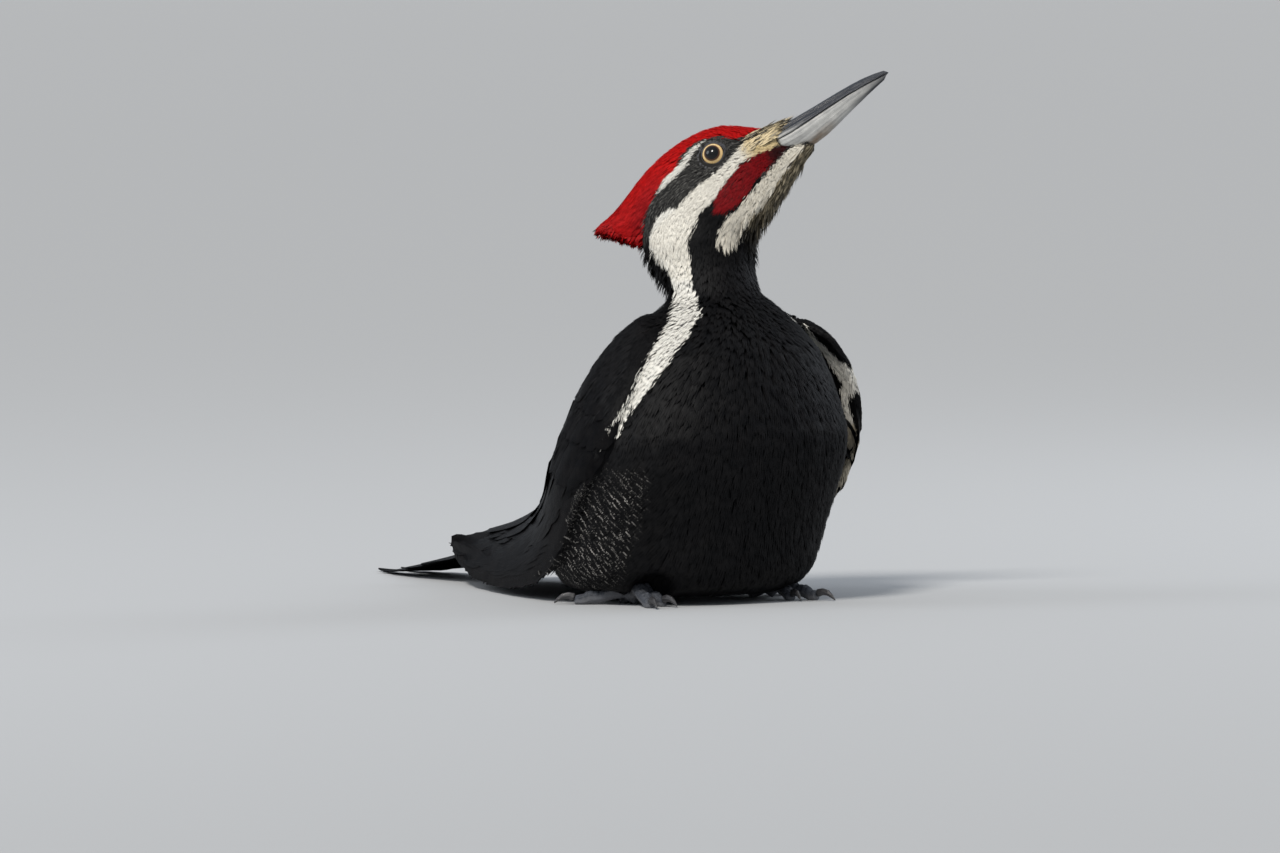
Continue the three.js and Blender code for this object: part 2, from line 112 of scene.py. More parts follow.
# %% Camera
CAMERA_TURN, CAMERA_RISE = math.radians(-35), math.radians(3)
CAMERA_DISTANCE = 4.8  # metres, as the target is
CAMERA_TARGET = (-0.0190, -0.0722, 0.0780)
camera_data = bpy.data.cameras.new("long_lens")
camera_data.lens = 300
camera_data.sensor_width = 36
camera_data.clip_end = 200
camera = bpy.data.objects.new("long_lens", camera_data)
camera.location = np.array(CAMERA_TARGET) + pointing(CAMERA_TURN, CAMERA_RISE) * CAMERA_DISTANCE
camera.rotation_euler = (math.pi / 2 - CAMERA_RISE, 0, CAMERA_TURN)
bpy.context.collection.objects.link(camera)
bpy.context.scene.camera = camera
print("camera at", [round(value, 3) for value in camera.location])


# %% Floor and lamps
def lamp(name, kind, place, aim, power, size, colour):
    """A lamp that points at aim. Its size is an angle for a sun and a width for a disc."""
    data = bpy.data.lights.new(name, kind)
    data.energy = power
    data.color = colour
    if kind == "SUN":
        data.angle = math.radians(size)
    else:
        data.shape = "DISK"
        data.size = size
    light = bpy.data.objects.new(name, data)
    light.location = place
    direction = Vector(aim) - Vector(place)
    light.rotation_euler = direction.to_track_quat("-Z", "Y").to_euler()
    bpy.context.collection.objects.link(light)


lamp("window", "SUN", (-2.0, -1.2, 2.6), (0, 0, 0.1), 2.6, 12, (1.0, 0.965, 0.91))
lamp("right_edge", "AREA", (1.5, -0.2, 0.8), (0, -0.05, 0.12), 7, 0.9, (0.86, 0.92, 1.0))
lamp("left_sheen", "AREA", (-1.5, 0.5, 0.9), (0, 0, 0.1), 8, 0.9, (0.9, 0.94, 1.0))

world = bpy.data.worlds.new("studio")
world.use_nodes = True
world.node_tree.nodes["Background"].inputs["Color"].default_value = (0.80, 0.86, 0.94, 1)
world.node_tree.nodes["Background"].inputs["Strength"].default_value = 0.5
bpy.context.scene.world = world
bpy.context.scene.view_settings.view_transform = "Standard"

FLOOR_REACH = 60.0
floor_corners = [(x * FLOOR_REACH, y * FLOOR_REACH, 0) for x, y in ((-1, -1), (1, -1), (1, 1), (-1, 1))]
floor_mesh = bpy.data.meshes.new("floor")
floor_mesh.from_pydata(floor_corners, [], [(0, 1, 2, 3)])
floor = bpy.data.objects.new("floor", floor_mesh)
bpy.context.collection.objects.link(floor)
print("lamps:", [light.name for light in bpy.data.lights])

# %% [markdown]
# ## Small tools for nodes
# Materials here are written as node trees. Short helpers keep them readable: some make a node or a group,
# set its sockets and link them, others do one sum, mix two colours or raise a bump. The last ones read
# what each vertex takes along, which is explained further on.


# %% Node helpers
def node(tree, kind, **values):
    """A new node. Each value sets a property of the node if it has one of that name, or else a socket."""
    made = tree.nodes.new(kind)
    for key, value in values.items():
        if hasattr(made, key):
            setattr(made, key, value)
        else:
            made.inputs[key.replace("_", " ")].default_value = value
    return made


def link(tree, *pairs):
    for source, target in pairs:
        tree.links.new(source, target)


def group(name, inputs, outputs):
    tree = bpy.data.node_groups.new(name, "ShaderNodeTree")
    for label, value in inputs.items():
        kind = "NodeSocketColor" if isinstance(value, tuple) else "NodeSocketFloat"
        tree.interface.new_socket(label, in_out="INPUT", socket_type=kind).default_value = value
    for label, kind in outputs.items():
        tree.interface.new_socket(label, in_out="OUTPUT", socket_type=kind)
    return tree, tree.nodes.new("NodeGroupInput").outputs, tree.nodes.new("NodeGroupOutput").inputs


def placed(tree, made_group, **values):
    user = tree.nodes.new("ShaderNodeGroup")
    user.node_tree = made_group
    for key, value in values.items():
        user.inputs[key.replace("_", " ")].default_value = value
    return user


def material(name, **shader_values):
    made = bpy.data.materials.new(name)
    made.use_nodes = True
    shader = made.node_tree.nodes["Principled BSDF"]
    for key, value in shader_values.items():
        shader.inputs[key.replace("_", " ")].default_value = value
    return made, made.node_tree, shader.inputs


def feed(tree, socket, value):
    """Sets a socket to a number or colour, or links another socket to it."""
    if isinstance(value, (int, float, tuple)):
        socket.default_value = value
    else:
        tree.links.new(value, socket)


def math_node(tree, operation, first, second, clamp=False):
    made = node(tree, "ShaderNodeMath", operation=operation, use_clamp=clamp)
    feed(tree, made.inputs[0], first)
    feed(tree, made.inputs[1], second)
    return made.outputs[0]


def times(tree, first, second):
    return math_node(tree, "MULTIPLY", first, second)


def mixed(tree, share, first, second, blend="MIX"):
    """A colour between two others. Each of the three may be a socket or a value."""
    made = node(tree, "ShaderNodeMix", data_type="RGBA", blend_type=blend)
    for number, value in ((0, share), (6, first), (7, second)):
        feed(tree, made.inputs[number], value)
    return made.outputs[2]


def ramped(tree, value, low, high, to_low=0.0, to_high=1.0):
    """The value's run from low to high, turned into a run between two other numbers."""
    made = node(tree, "ShaderNodeMapRange", From_Min=low, From_Max=high, To_Min=to_low, To_Max=to_high)
    tree.links.new(value, made.inputs["Value"])
    return made.outputs[0]


def bumped(tree, shader, height, strength, distance):
    """Small bumps in the shading, distance metres high, where the given socket rises and falls."""
    bump = node(tree, "ShaderNodeBump", Strength=strength, Distance=distance)
    link(tree, (height, bump.inputs["Height"]), (bump.outputs[0], shader["Normal"]))


def read_marks(tree):
    """The four markings of the nearest vertices, as sockets."""
    marks = node(tree, "ShaderNodeAttribute", attribute_name="markings")
    shares = tree.nodes.new("ShaderNodeSeparateColor")
    tree.links.new(marks.outputs["Color"], shares.inputs[0])
    return *shares.outputs, marks.outputs["Alpha"]


def vane_place(tree):
    """How far across and along its feather or horn a point lies, as two sockets."""
    vane_map = node(tree, "ShaderNodeUVMap", uv_map="vane")
    parts = tree.nodes.new("ShaderNodeSeparateXYZ")
    tree.links.new(vane_map.outputs[0], parts.inputs[0])
    return parts.outputs[0], parts.outputs[1]


# %% Floor finish
floor_paint, tree, shader = material("pale_floor", Roughness=0.9)
speckle = node(tree, "ShaderNodeTexNoise", Scale=3.0, Detail=4.0)
floor_colour = mixed(tree, speckle.outputs["Fac"], (0.44, 0.445, 0.45, 1), (0.48, 0.485, 0.49, 1))
link(tree, (floor_colour, shader["Base Color"]))
floor.data.materials.append(floor_paint)

# %% [markdown]
# ## The outer form and the skin under it
# The solids end where the tips of the feathers end. One wrap of small voxels over all of them closes the
# thin cuts between head, neck, trunk and wings, and a little smoothing takes the facets off. That wrap is
# the outer form. The skin is the same wrap pulled in by the depth of the coat, so a feather can start on
# the skin and finish on the form, and both know which point belongs to which.


# %% Wrap the solids
def merged_copy(names, swell):
    """One bmesh of the named solids, each swollen a little so that the cuts between them close."""
    joined = bmesh.new()
    for name in names:
        joined.from_mesh(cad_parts[name].data)
    bmesh.ops.remove_doubles(joined, verts=joined.verts, dist=1e-6)
    joined.normal_update()
    for vertex in joined.verts:
        vertex.co += vertex.normal * swell * MM
    return joined


def wrap(names, voxel, swell=0.25, smoothing=8):
    """Points in mm and quads of one closed surface round the named solids.

    Each round of smoothing is one step in and a slightly longer one out, so the wrap keeps its size.
    """
    mesh = bpy.data.meshes.new("wrap")
    joined = merged_copy(names, swell)
    joined.to_mesh(mesh)
    joined.free()
    helper = bpy.data.objects.new("wrap", mesh)
    bpy.context.collection.objects.link(helper)
    remesh = helper.modifiers.new("wrap", "REMESH")
    remesh.mode = "VOXEL"
    remesh.voxel_size = voxel * MM
    seen = helper.evaluated_get(bpy.context.evaluated_depsgraph_get()).to_mesh()
    points = np.empty(len(seen.vertices) * 3)
    seen.vertices.foreach_get("co", points)
    corners = np.empty(len(seen.loops), int)
    seen.loops.foreach_get("vertex_index", corners)
    quads = corners.reshape(-1, 4)
    bpy.data.objects.remove(helper)
    points, quads = largest_part(points.reshape(-1, 3) / MM, quads)
    for _ in range(smoothing):
        points = relaxed(points, quads, 0.55)
        points = relaxed(points, quads, -0.57)
    return points, quads


def neighbour_mean(values, quads):
    total = np.zeros_like(values)
    count = np.zeros(len(values))
    for a, b in ((0, 1), (1, 2), (2, 3), (3, 0)):
        for start, end in ((a, b), (b, a)):
            for axis in range(values.shape[1]):
                total[:, axis] += np.bincount(quads[:, start], values[quads[:, end], axis], len(values))
            count += np.bincount(quads[:, start], minlength=len(values))
    return total / np.maximum(count, 1)[:, None]


def relaxed(values, quads, share):
    return values + (neighbour_mean(values, quads) - values) * share


def largest_part(points, quads):
    """Drops closed bubbles that the wrap can leave inside."""
    label = np.arange(len(points))
    while True:
        lowest = label.copy()
        for a in range(4):
            np.minimum.at(lowest, quads[:, a], label[quads].min(axis=1))
        lowest = lowest[lowest]
        if (lowest == label).all():
            break
        label = lowest
    keep = label == np.bincount(label).argmax()
    number = np.cumsum(keep) - 1
    return points[keep], number[quads[keep[quads[:, 0]]]]


def quad_cross(points, quads):
    """For each quad an arrow square to it, twice as long as its area."""
    return np.cross(points[quads[:, 2]] - points[quads[:, 0]], points[quads[:, 3]] - points[quads[:, 1]])


def surface_normals(points, quads):
    across = quad_cross(points, quads)
    normals = np.zeros_like(points)
    for corner in range(4):
        for axis in range(3):
            normals[:, axis] += np.bincount(quads[:, corner], across[:, axis], len(points))
    return unit(normals)


FEATHERED = ["trunk", "neck", "head", "crest", "wing_right", "wing_left"]
FOREHEAD_DROP = 1.9  # the coat lies this much flatter where the forehead meets the bill, mm
form_points, form_quads = wrap(FEATHERED, 1.4)
forward, up, _ = on_head(form_points).T
forehead = np.clip((forward - 10) / 14, 0, 1) * np.clip((up - 0.5) / 3, 0, 1) * (forward < 45)
form_points = form_points - head_up * (FOREHEAD_DROP * forehead)[:, None]
form_normals = surface_normals(form_points, form_quads)
print("outer form:", len(form_points), "points")

# %% Which part of the bird each point belongs to
NECK, HEAD, CREST, RIGHT_WING, LEFT_WING = range(1, 6)  # places in that list, after the trunk
part_vertices, part_triangles, part_of_triangle = [], [], []
for number, name in enumerate(FEATHERED):
    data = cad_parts[name].data
    data.calc_loop_triangles()
    start = len(part_vertices)
    part_vertices += [tuple(vertex.co / MM) for vertex in data.vertices]
    part_triangles += [tuple(start + index for index in face.vertices) for face in data.loop_triangles]
    part_of_triangle += [number] * len(data.loop_triangles)
solid_tree = BVHTree.FromPolygons(part_vertices, part_triangles)
nearest = [solid_tree.find_nearest(point)[2] for point in form_points]
form_part = np.array(part_of_triangle)[nearest]
print("points on each part:", dict(zip(FEATHERED, np.bincount(form_part).tolist())))

# %% Coat depth and skin
COAT_DEPTH = {"trunk": 3.6, "neck": 3.2, "head": 1.5, "crest": 2.4, "wing_right": 1.7, "wing_left": 1.7}
CREST_REAR_DEPTH = 0.4


def smoothstep(value, low, high):
    """0 below low, 1 above high, and a soft rise between them."""
    share = np.clip((value - low) / (high - low), 0, 1)
    return share * share * (3 - 2 * share)


depth = np.array([COAT_DEPTH[name] for name in FEATHERED])[form_part]
wing_depth = COAT_DEPTH["wing_right"] - 1.2 * smoothstep(form_points[:, 1], -70, 40)
depth = np.where(form_part >= RIGHT_WING, wing_depth, depth)
for _ in range(25):
    depth = relaxed(depth[:, None], form_quads, 0.6)[:, 0]
forward, up, right = on_head(form_points).T
near_eye = (1 - smoothstep(from_eye(forward, up), 7, 12)) * (np.abs(right) > 9)
bill_base = smoothstep(forward, 18, 32) * np.isin(form_part, [HEAD, CREST])
depth *= 1 - 0.65 * np.maximum(near_eye, bill_base)
crest_rear = smoothstep(-forward, 46, 63) * (form_part == CREST)
depth = depth * (1 - crest_rear) + CREST_REAR_DEPTH * crest_rear
even_normals = form_normals.copy()
for _ in range(4):
    even_normals = unit(relaxed(even_normals, form_quads, 0.6))
skin_points = form_points - even_normals * depth[:, None]
print("coat depth, mm:", depth.min().round(2), "to", depth.max().round(2))

# %% [markdown]
# ## The lie of the coat
# On a real bird every feather points away from the bill and towards the tail. One rule for the whole body
# keeps neighbouring tufts combed alike: back along the head, down the neck, down and outwards over the
# breast, and back over the rump. The rule gives a rough direction; each step is then laid flat on the
# form.

# %% Direction of the feathers
BODY_MIDDLE_X = -2.9


def lie_of_coat(points, normals):
    """The direction that a feather at each point of the body runs in."""
    forward, up, _ = on_head(points).T
    height = points[:, 2]
    side = np.clip((points[:, 0] - BODY_MIDDLE_X) / 45, -1, 1)
    level = np.zeros_like(side)
    # the breast: down and outwards, and back under the belly and round the flanks
    low = smoothstep(-height, -42, -8)
    flank = smoothstep(np.abs(side), 0.80, 1.0) * smoothstep(-height, -74, -52)
    outwards = side * (0.22 + 0.5 * smoothstep(height, 75, 118))
    front = np.stack([outwards, 0.12 + 0.75 * low + 1.5 * flank, level - 1], axis=1)
    # the back: down, and further down more and more backwards
    rump = smoothstep(-height, -75, -40)
    back = np.stack([side * 0.25 * (1 - rump), 0.55 + 0.75 * rump, -1 + 0.6 * rump], axis=1)
    behind = smoothstep(normals[:, 1], -0.25, 0.45)[:, None]
    body = unit(front * (1 - behind) + back * behind)
    # the neck: straight down
    neck = np.stack([side * 0.1, level, level - 1], axis=1)
    neck_share = smoothstep(height, 122, 140)[:, None]
    body = unit(body * (1 - neck_share) + neck * neck_share)
    # the head: backwards, with another droop above the border of the cap than below it
    cap = smoothstep(up - cap_border(forward), -1.0, 1.5)
    cap_drop = 0.31 * smoothstep(-forward, 5, 20) - 0.45 * smoothstep(forward, -5, 15)
    face_drop = 0.14 + 0.45 * smoothstep(-up, 2, 26)
    face_drop = face_drop + 1.1 * smoothstep(-forward, 12, 34) * smoothstep(-up, 4, 22)
    drop = cap_drop * cap + face_drop * (1 - cap)
    head = unit(-head_forward - drop[:, None] * head_up)
    head_share = smoothstep(up, -44, -26)[:, None] * smoothstep(height, 143, 160)[:, None]
    return unit(body * (1 - head_share) + head * head_share)


CAP_BORDER = [(27, 3.4), (20, 1.2), (13, 1.4), (7.4, 6.8), (0.7, 8.7), (-5, 9.2), (-11, 6.3), (-15.3, 1.7)]
CAP_BORDER += [(-22, 0.2), (-30.7, -4.9), (-38.5, -8.8), (-44.5, -15.5), (-52, -24)]


def cap_border(forward):
    """How far up the red cap begins."""
    return np.interp(forward, *zip(*CAP_BORDER[::-1]))


# %% [markdown]
# ## The bird's markings
# A few outlines give all the colours. Those of the head are drawn in its side view, forward and up from
# the middle of the head, and count for both sides. The white stripes that run down the neck to the
# wings are strokes through the air, thick where the stripe is wide, and whatever grows inside a stroke is
# white. Skin and feathers ask the same function, so they always agree.

# %% Outlines of the face, mm forward and up in the head's side view
CHEEK = [(37, 0.9), (31, 0.2), (24, -0.9), (17, -1.2), (12.4, -4.2), (7, -7.4), (-0.9, -10.4), (-11, -11.9)]
CHEEK += [(-23.4, -15.2), (-32, -16.4), (-38.6, -19.2), (-42.3, -21.7), (-38.5, -34.2), (-40.7, -44.4)]
CHEEK += [(-33, -50), (-31.5, -46), (-28.6, -40), (-26.2, -33.2), (-22.8, -28.9), (-16.7, -24.2)]
CHEEK += [(-12.4, -22.2), (-5.8, -20.7), (-0.5, -17.4), (7.1, -13.2), (13, -10.3), (19, -9.6)]
CHEEK += [(28, -9.0), (33, -7), (37, -5)]
CHIN_EDGE = [(-12.6, -41), (-7.8, -39.4), (0, -36.6), (10.5, -31.4), (21.2, -24.6), (30.2, -18.6)]
CHIN_EDGE += [(37, -14.8)]
THROAT = [(39, -10.5), (31.5, -12.8), (24.0, -16.9), (12.8, -22.8), (2.7, -27.8), (-4.7, -29.7)]
THROAT += [(-9.6, -31.8), (-14.2, -36.6)] + CHIN_EDGE
MALAR = [(33, -9.4), (24, -9.3), (17.6, -10.0), (10, -12.2), (1.6, -16.6), (-5.6, -20.4), (-8.2, -25.4)]
MALAR += [(-5, -27.8), (2.5, -26.8), (8.4, -24.4), (13.5, -20.7), (19.5, -17.8), (27, -14.3), (32.5, -11.5)]
EYE_LINE = [(1.0, 7.6, 0.5), (-2.8, 6.8, 1.2), (-6.1, 5.4, 1.6), (-8.8, 3.4, 1.8), (-11.7, 1.2, 1.9)]
EYE_LINE += [(-16.3, -0.6, 2.3), (-21.7, -1.6, 2.1), (-27, -4.2, 0.9)]

# %% White stripes of the neck and breast, mm in the room and half the stripe's width
RIGHT_STRIPE = [(-25, -105, 169, 9), (-27, -104, 161, 9.5), (-24.9, -110, 153.7, 6), (-24, -111, 144, 5)]
RIGHT_STRIPE += [(-23, -112, 138, 6), (-29.5, -123, 130, 6.8), (-37, -125.5, 122.5, 7)]
RIGHT_STRIPE += [(-44.8, -127, 115.4, 5.8), (-50, -127, 108.3, 4.6), (-56, -126, 99.5, 3.6)]
RIGHT_STRIPE += [(-60, -124, 92, 2.7), (-64.5, -121, 85, 2.0), (-68, -117, 79, 1.6), (-69, -115, 74, 0.8)]
RIGHT_SPLIT = [(-61, -121.5, 88, 1.3), (-63.3, -120.5, 83, 1.2), (-64.5, -120, 77, 0.8)]
LEFT_STRIPE = [(-3, -81, 161, 9), (1.8, -84, 153.7, 6), (9, -89, 146, 5), (15, -99, 138, 5)]
LEFT_STRIPE += [(21, -112, 132, 3.5), (27, -124, 127, 2.4), (34, -122, 124, 2.0)]
LEFT_STRIPE += [(42.5, -115.5, 120.5, 2.0)]
LEFT_STRIPE += [(47.5, -116, 115.4, 2.8), (51.4, -117, 111.3, 3.4), (54.8, -119.5, 107, 5.0)]
LEFT_STRIPE += [(58.8, -122, 102, 5.6), (61.8, -121, 97, 4.4), (62.2, -116, 94, 2.6)]
LEFT_STRIPE += [(64.5, -113.6, 89.5, 1.9), (67, -112.5, 83.5, 2.3), (68.4, -111.9, 79, 3.0)]
LEFT_LINING = [(68.6, -111.6, 77, 3.4), (69.2, -111, 70, 4.2), (69, -109.6, 63, 4.3), (67.5, -107, 56, 4.0)]
LEFT_LINING += [(65, -104, 50, 3.2)]


def inside(outline, across, upward):
    """Which points lie inside a closed outline, by counting the sides that a line from them crosses."""
    within = np.zeros(len(across), bool)
    for (x0, y0), (x1, y1) in zip(outline, outline[1:] + outline[:1]):
        crosses = (y0 > upward) != (y1 > upward)
        within ^= crosses & (across < (x1 - x0) * (upward - y0) / (y1 - y0 + 1e-12) + x0)
    return within


def stroke(points, stations):
    """How far inside a stroke of changing thickness each point lies, in mm. Less than 0 is outside."""
    stations = np.array(stations, float)
    best = np.full(len(points), -1e3)
    for start, end in zip(stations[:-1], stations[1:]):
        step = end[:-1] - start[:-1]
        share = np.clip(((points - start[:-1]) @ step) / (step @ step), 0, 1)
        distance = np.linalg.norm(points - start[:-1] - share[:, None] * step, axis=1)
        best = np.maximum(best, start[-1] + share * (end[-1] - start[-1]) - distance)
    return best


# %% Markings at any point: white, red, tint and bars
EAR_GREY, STREAK_GREY, STREAK_BLACK = 0.012, 0.42, 0.09  # shares of white


def markings(points, random):
    """Shares of white, red, tint and pale bars. Tint makes white creamy, and red dark; on the cap that dark
    red is partly painted shade.
    """
    forward, up, _ = on_head(points).T
    above_border = up - cap_border(forward)
    white, red, tint, bars = np.zeros((4, len(points)))
    head = (up > -46) & (points[:, 2] > 146)
    # white stripes of the neck, and the streaky lining of the wing
    for stripe in (RIGHT_STRIPE, RIGHT_SPLIT, LEFT_STRIPE):
        white[stroke(points, stripe) > 0] = 1
    lining = stroke(points, LEFT_LINING) > 0
    white[lining], tint[lining] = (0.42 + 0.35 * random)[lining], 0.45
    # the face: white cheek, dark elsewhere with a few pale hairs, and the white line behind the eye
    cheek = head & inside(CHEEK, forward, up)
    white[cheek] = 1
    ear = head & (above_border < 0) & (white == 0) & (up > -20)
    white[ear] = EAR_GREY + 0.15 * random[ear] ** 4
    side_view = np.stack([forward, up], axis=1)
    white[head & (stroke(side_view, EYE_LINE) > 0.2 + 0.5 * random)] = 0.95
    # the chin: dark and streaked, under the creamy throat
    chin = head & (forward > -6) & (up < np.interp(forward, *zip(*CHIN_EDGE)) + 1.5)
    streaky = np.where(random > 0.60, STREAK_GREY, STREAK_BLACK)
    white[chin] = (streaky * smoothstep(forward, -6, 16))[chin]
    tint[chin] = 0.75
    throat = head & inside(THROAT, forward, up)
    white[throat], tint[throat] = 0.95, 0.22
    tint[cheek] = (0.10 + 0.9 * smoothstep(forward, 12, 20))[cheek]
    # the red patch of the male, almost black in front
    malar = head & inside(MALAR, forward, up)
    dark_front = smoothstep(forward, 21, 26)
    red[malar] = ((1 - 0.85 * dark_front) * np.where(random > 0.90, 0.25, 1))[malar]
    white[malar], tint[malar] = 0, 0.85
    # the red cap, with painted shade that is darkest low down at the rear; it is also a little darker
    # further back on the crest, and a little darker at random
    cap = head & (above_border > 0) & (forward < 25)
    red[cap], white[cap] = 1, 0
    # painted shade: low down at the rear the cap is darkened as if in shadow
    painted_shade_low_rear = (1 - smoothstep(above_border, 1, 13)) * smoothstep(-forward, 16, 36)
    cap_shade_and_tone = 0.50 * painted_shade_low_rear + 0.22 * smoothstep(-forward, 30, 56) + 0.10 * random
    tint[cap] = np.clip(cap_shade_and_tone, 0, 1)[cap]
    # pale bars low on both flanks
    flank = smoothstep(-points[:, 0], 52, 60) * smoothstep(-points[:, 2], -66, -50)
    other = smoothstep(points[:, 0], 46, 56) * smoothstep(-points[:, 2], -60, -48)
    in_front = 1 - smoothstep(points[:, 1], -52, -40)
    bars = np.maximum(flank, other) * in_front * (0.35 + 0.65 * (random > 0.35))
    return np.stack([white, red, tint, bars], axis=1)


skin_marks = markings(form_points, np.full(len(form_points), 0.5))
print("white share of the skin:", round(float((skin_marks[:, 0] > 0.5).mean()), 3))

# %% [markdown]
# ## Making pieces out of numbers
# Eighteen thousand tufts are far too many to make one by one with editing tools. Numpy works out all
# points of a coat piece at once, and one helper turns them into a mesh. Each vertex also takes along its
# markings and two maps: "vane" runs across and along each feather, and "OFBake" gives every tuft its own
# little patch at the place of its root on the unwrapped skin, so that colours can be baked without mixing
# neighbours.


# %% Piece helper
def piece(
    name, points, faces, finish, replaces=(), marks=None, vane=None, patch=None, shading=None
):
    """A joined mesh that rides on the bird. Points are in mm, faces all have the same number of corners."""
    mesh = bpy.data.meshes.new(name)
    count, corners = len(faces), faces.shape[1]
    mesh.vertices.add(len(points))
    mesh.vertices.foreach_set("co", (points * MM).astype(np.float32).ravel())
    mesh.loops.add(count * corners)
    mesh.loops.foreach_set("vertex_index", faces.astype(np.int32).ravel())
    mesh.polygons.add(count)
    mesh.polygons.foreach_set("loop_start", np.arange(count, dtype=np.int32) * corners)
    mesh.update(calc_edges=True)
    mesh.polygons.foreach_set("use_smooth", np.ones(count, bool))
    for label, places in (("OFBake", patch), ("vane", vane)):
        if places is not None:
            per_corner = places[faces.ravel()] if len(places) == len(points) else places
            layer = mesh.uv_layers.new(name=label)
            layer.uv.foreach_set("vector", per_corner.astype(np.float32).ravel())
    if marks is not None:
        layer = mesh.attributes.new("markings", "FLOAT_COLOR", "POINT")
        layer.data.foreach_set("color", marks.astype(np.float32).ravel())
    mesh.validate()
    if shading is not None:
        mesh.normals_split_custom_set_from_vertices(shading.astype(np.float32))
    made = bpy.data.objects.new(name, mesh)
    made.data.materials.append(finish)
    bpy.context.collection.objects.link(made)
    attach(made, "root")
    if replaces:
        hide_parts(*replaces)
    print(f"{name}: {count * (corners - 2)} triangles")
    return made


# %% [markdown]
# ## Plumage finish
# Close up, a feather is a row of fine parallel barbs, so light breaks up along them. One group makes
# those streaks from the "vane" map, and both the loose coat and the stiff wing vanes use it with their
# own fineness. Black plumage is never even: it is a little brown where worn and a little blue where it is
# glossy.

# %% Streak group
streaks_group, entry, leave = group(
    "barb_streaks",
    {"Across": 40.0, "Along": 3.0, "Slant": 0.0},
    {"Streak": "NodeSocketFloat", "Patch": "NodeSocketFloat"},
)
across, along = vane_place(streaks_group)
in_vane = math_node(streaks_group, "FRACT", across, 0)
from_shaft = math_node(streaks_group, "ABSOLUTE", math_node(streaks_group, "SUBTRACT", in_vane, 0.5), 0)
along_barb = math_node(streaks_group, "SUBTRACT", along, times(streaks_group, from_shaft, entry["Slant"]))
stretched = streaks_group.nodes.new("ShaderNodeCombineXYZ")
barbs = node(streaks_group, "ShaderNodeTexNoise", Scale=1.0, Detail=3.0, Roughness=0.6)
blotch = node(streaks_group, "ShaderNodeTexNoise", Scale=160.0, Detail=2.0)
ground = streaks_group.nodes.new("ShaderNodeTexCoord")
link(
    streaks_group,
    (times(streaks_group, across, entry["Across"]), stretched.inputs[0]),
    (times(streaks_group, along_barb, entry["Along"]), stretched.inputs[1]),
    (stretched.outputs[0], barbs.inputs["Vector"]),
    (ground.outputs["Object"], blotch.inputs["Vector"]),
    (ramped(streaks_group, barbs.outputs["Fac"], 0.32, 0.68), leave["Streak"]),
    (ramped(streaks_group, blotch.outputs["Fac"], 0.35, 0.65), leave["Patch"]),
)

# %% Plumage colour group
BLACK_DEEP, BLACK_WORN = (0.0026, 0.0026, 0.0032, 1), (0.0085, 0.0078, 0.0080, 1)
WHITE_CLEAN, WHITE_SOILED = (0.86, 0.84, 0.78, 1), (0.60, 0.56, 0.47, 1)
CREAM = (0.70, 0.52, 0.23, 1)
SCARLET, SCARLET_DEEP = (0.58, 0.004, 0.003, 1), (0.27, 0.0015, 0.002, 1)
CRIMSON = (0.15, 0.003, 0.006, 1)

BAR_COLOUR = (0.42, 0.40, 0.37, 1)
BARS = ((0.80, 0.030), (0.56, 0.018))  # how far along the feather, and half the width of the bar

colour_group, entry, leave = group(
    "plumage_colour", {"Streak": 0.5, "Patch": 0.5, "Tip": 0.5}, {"Colour": "NodeSocketColor"}
)
white_share, red_share, tint_share, bar_share = read_marks(colour_group)
worn = times(colour_group, entry["Streak"], entry["Patch"])
black_now = mixed(colour_group, worn, BLACK_DEEP, BLACK_WORN)
white_now = mixed(colour_group, times(colour_group, entry["Streak"], 0.6), WHITE_CLEAN, WHITE_SOILED)
white_now = mixed(colour_group, times(colour_group, tint_share, 0.85), white_now, CREAM)
red_now = mixed(colour_group, times(colour_group, entry["Streak"], 0.8), SCARLET, SCARLET_DEEP)
# tint turns red to crimson: the male's own dark red patch, and painted shade low at the rear of the cap
red_now = mixed(colour_group, tint_share, red_now, CRIMSON)
plume_now = mixed(colour_group, white_share, black_now, white_now)
plume_now = mixed(colour_group, red_share, plume_now, red_now)
bar_sockets = []
for place, half_width in BARS:
    bar_sockets.append(math_node(colour_group, "COMPARE", entry["Tip"], place))
    bar_sockets[-1].node.inputs[2].default_value = half_width
bar = times(colour_group, math_node(colour_group, "ADD", *bar_sockets, clamp=True), bar_share)
bar = times(colour_group, bar, ramped(colour_group, entry["Patch"], 0.2, 0.9, 0.1, 0.75))
link(colour_group, (mixed(colour_group, bar, plume_now, BAR_COLOUR), leave["Colour"]))


# %% Plumage materials
def plumed(tree, across, along, slant=0.0):
    """The streak and the colour of a feathered finish: the streak as a socket, the colour as a node."""
    streaks = placed(tree, streaks_group, Across=across, Along=along, Slant=slant)
    colour = placed(tree, colour_group)
    for label in ("Streak", "Patch"):
        tree.links.new(streaks.outputs[label], colour.inputs[label])
    return streaks.outputs["Streak"], colour


def plumage(name, across, along, slant, roughness, root_shade, bump, gloss):
    """A feather finish that is darker towards the root, where less light gets in."""
    made, tree, shader = material(name, Specular_IOR_Level=gloss)
    streak, colour = plumed(tree, across, along, slant)
    place_along = vane_place(tree)[1]
    bumped(tree, shader, streak, bump, 0.0002)
    root = ramped(tree, place_along, 0.0, 0.55, root_shade, 1.0)
    grey = tree.nodes.new("ShaderNodeCombineColor")
    link(
        tree,
        (place_along, colour.inputs["Tip"]),
        (ramped(tree, streak, 0, 1, roughness - 0.09, roughness + 0.09), shader["Roughness"]),
        *((root, channel) for channel in grey.inputs),
        (mixed(tree, 1.0, colour.outputs[0], grey.outputs[0], blend="MULTIPLY"), shader["Base Color"]),
    )
    return made


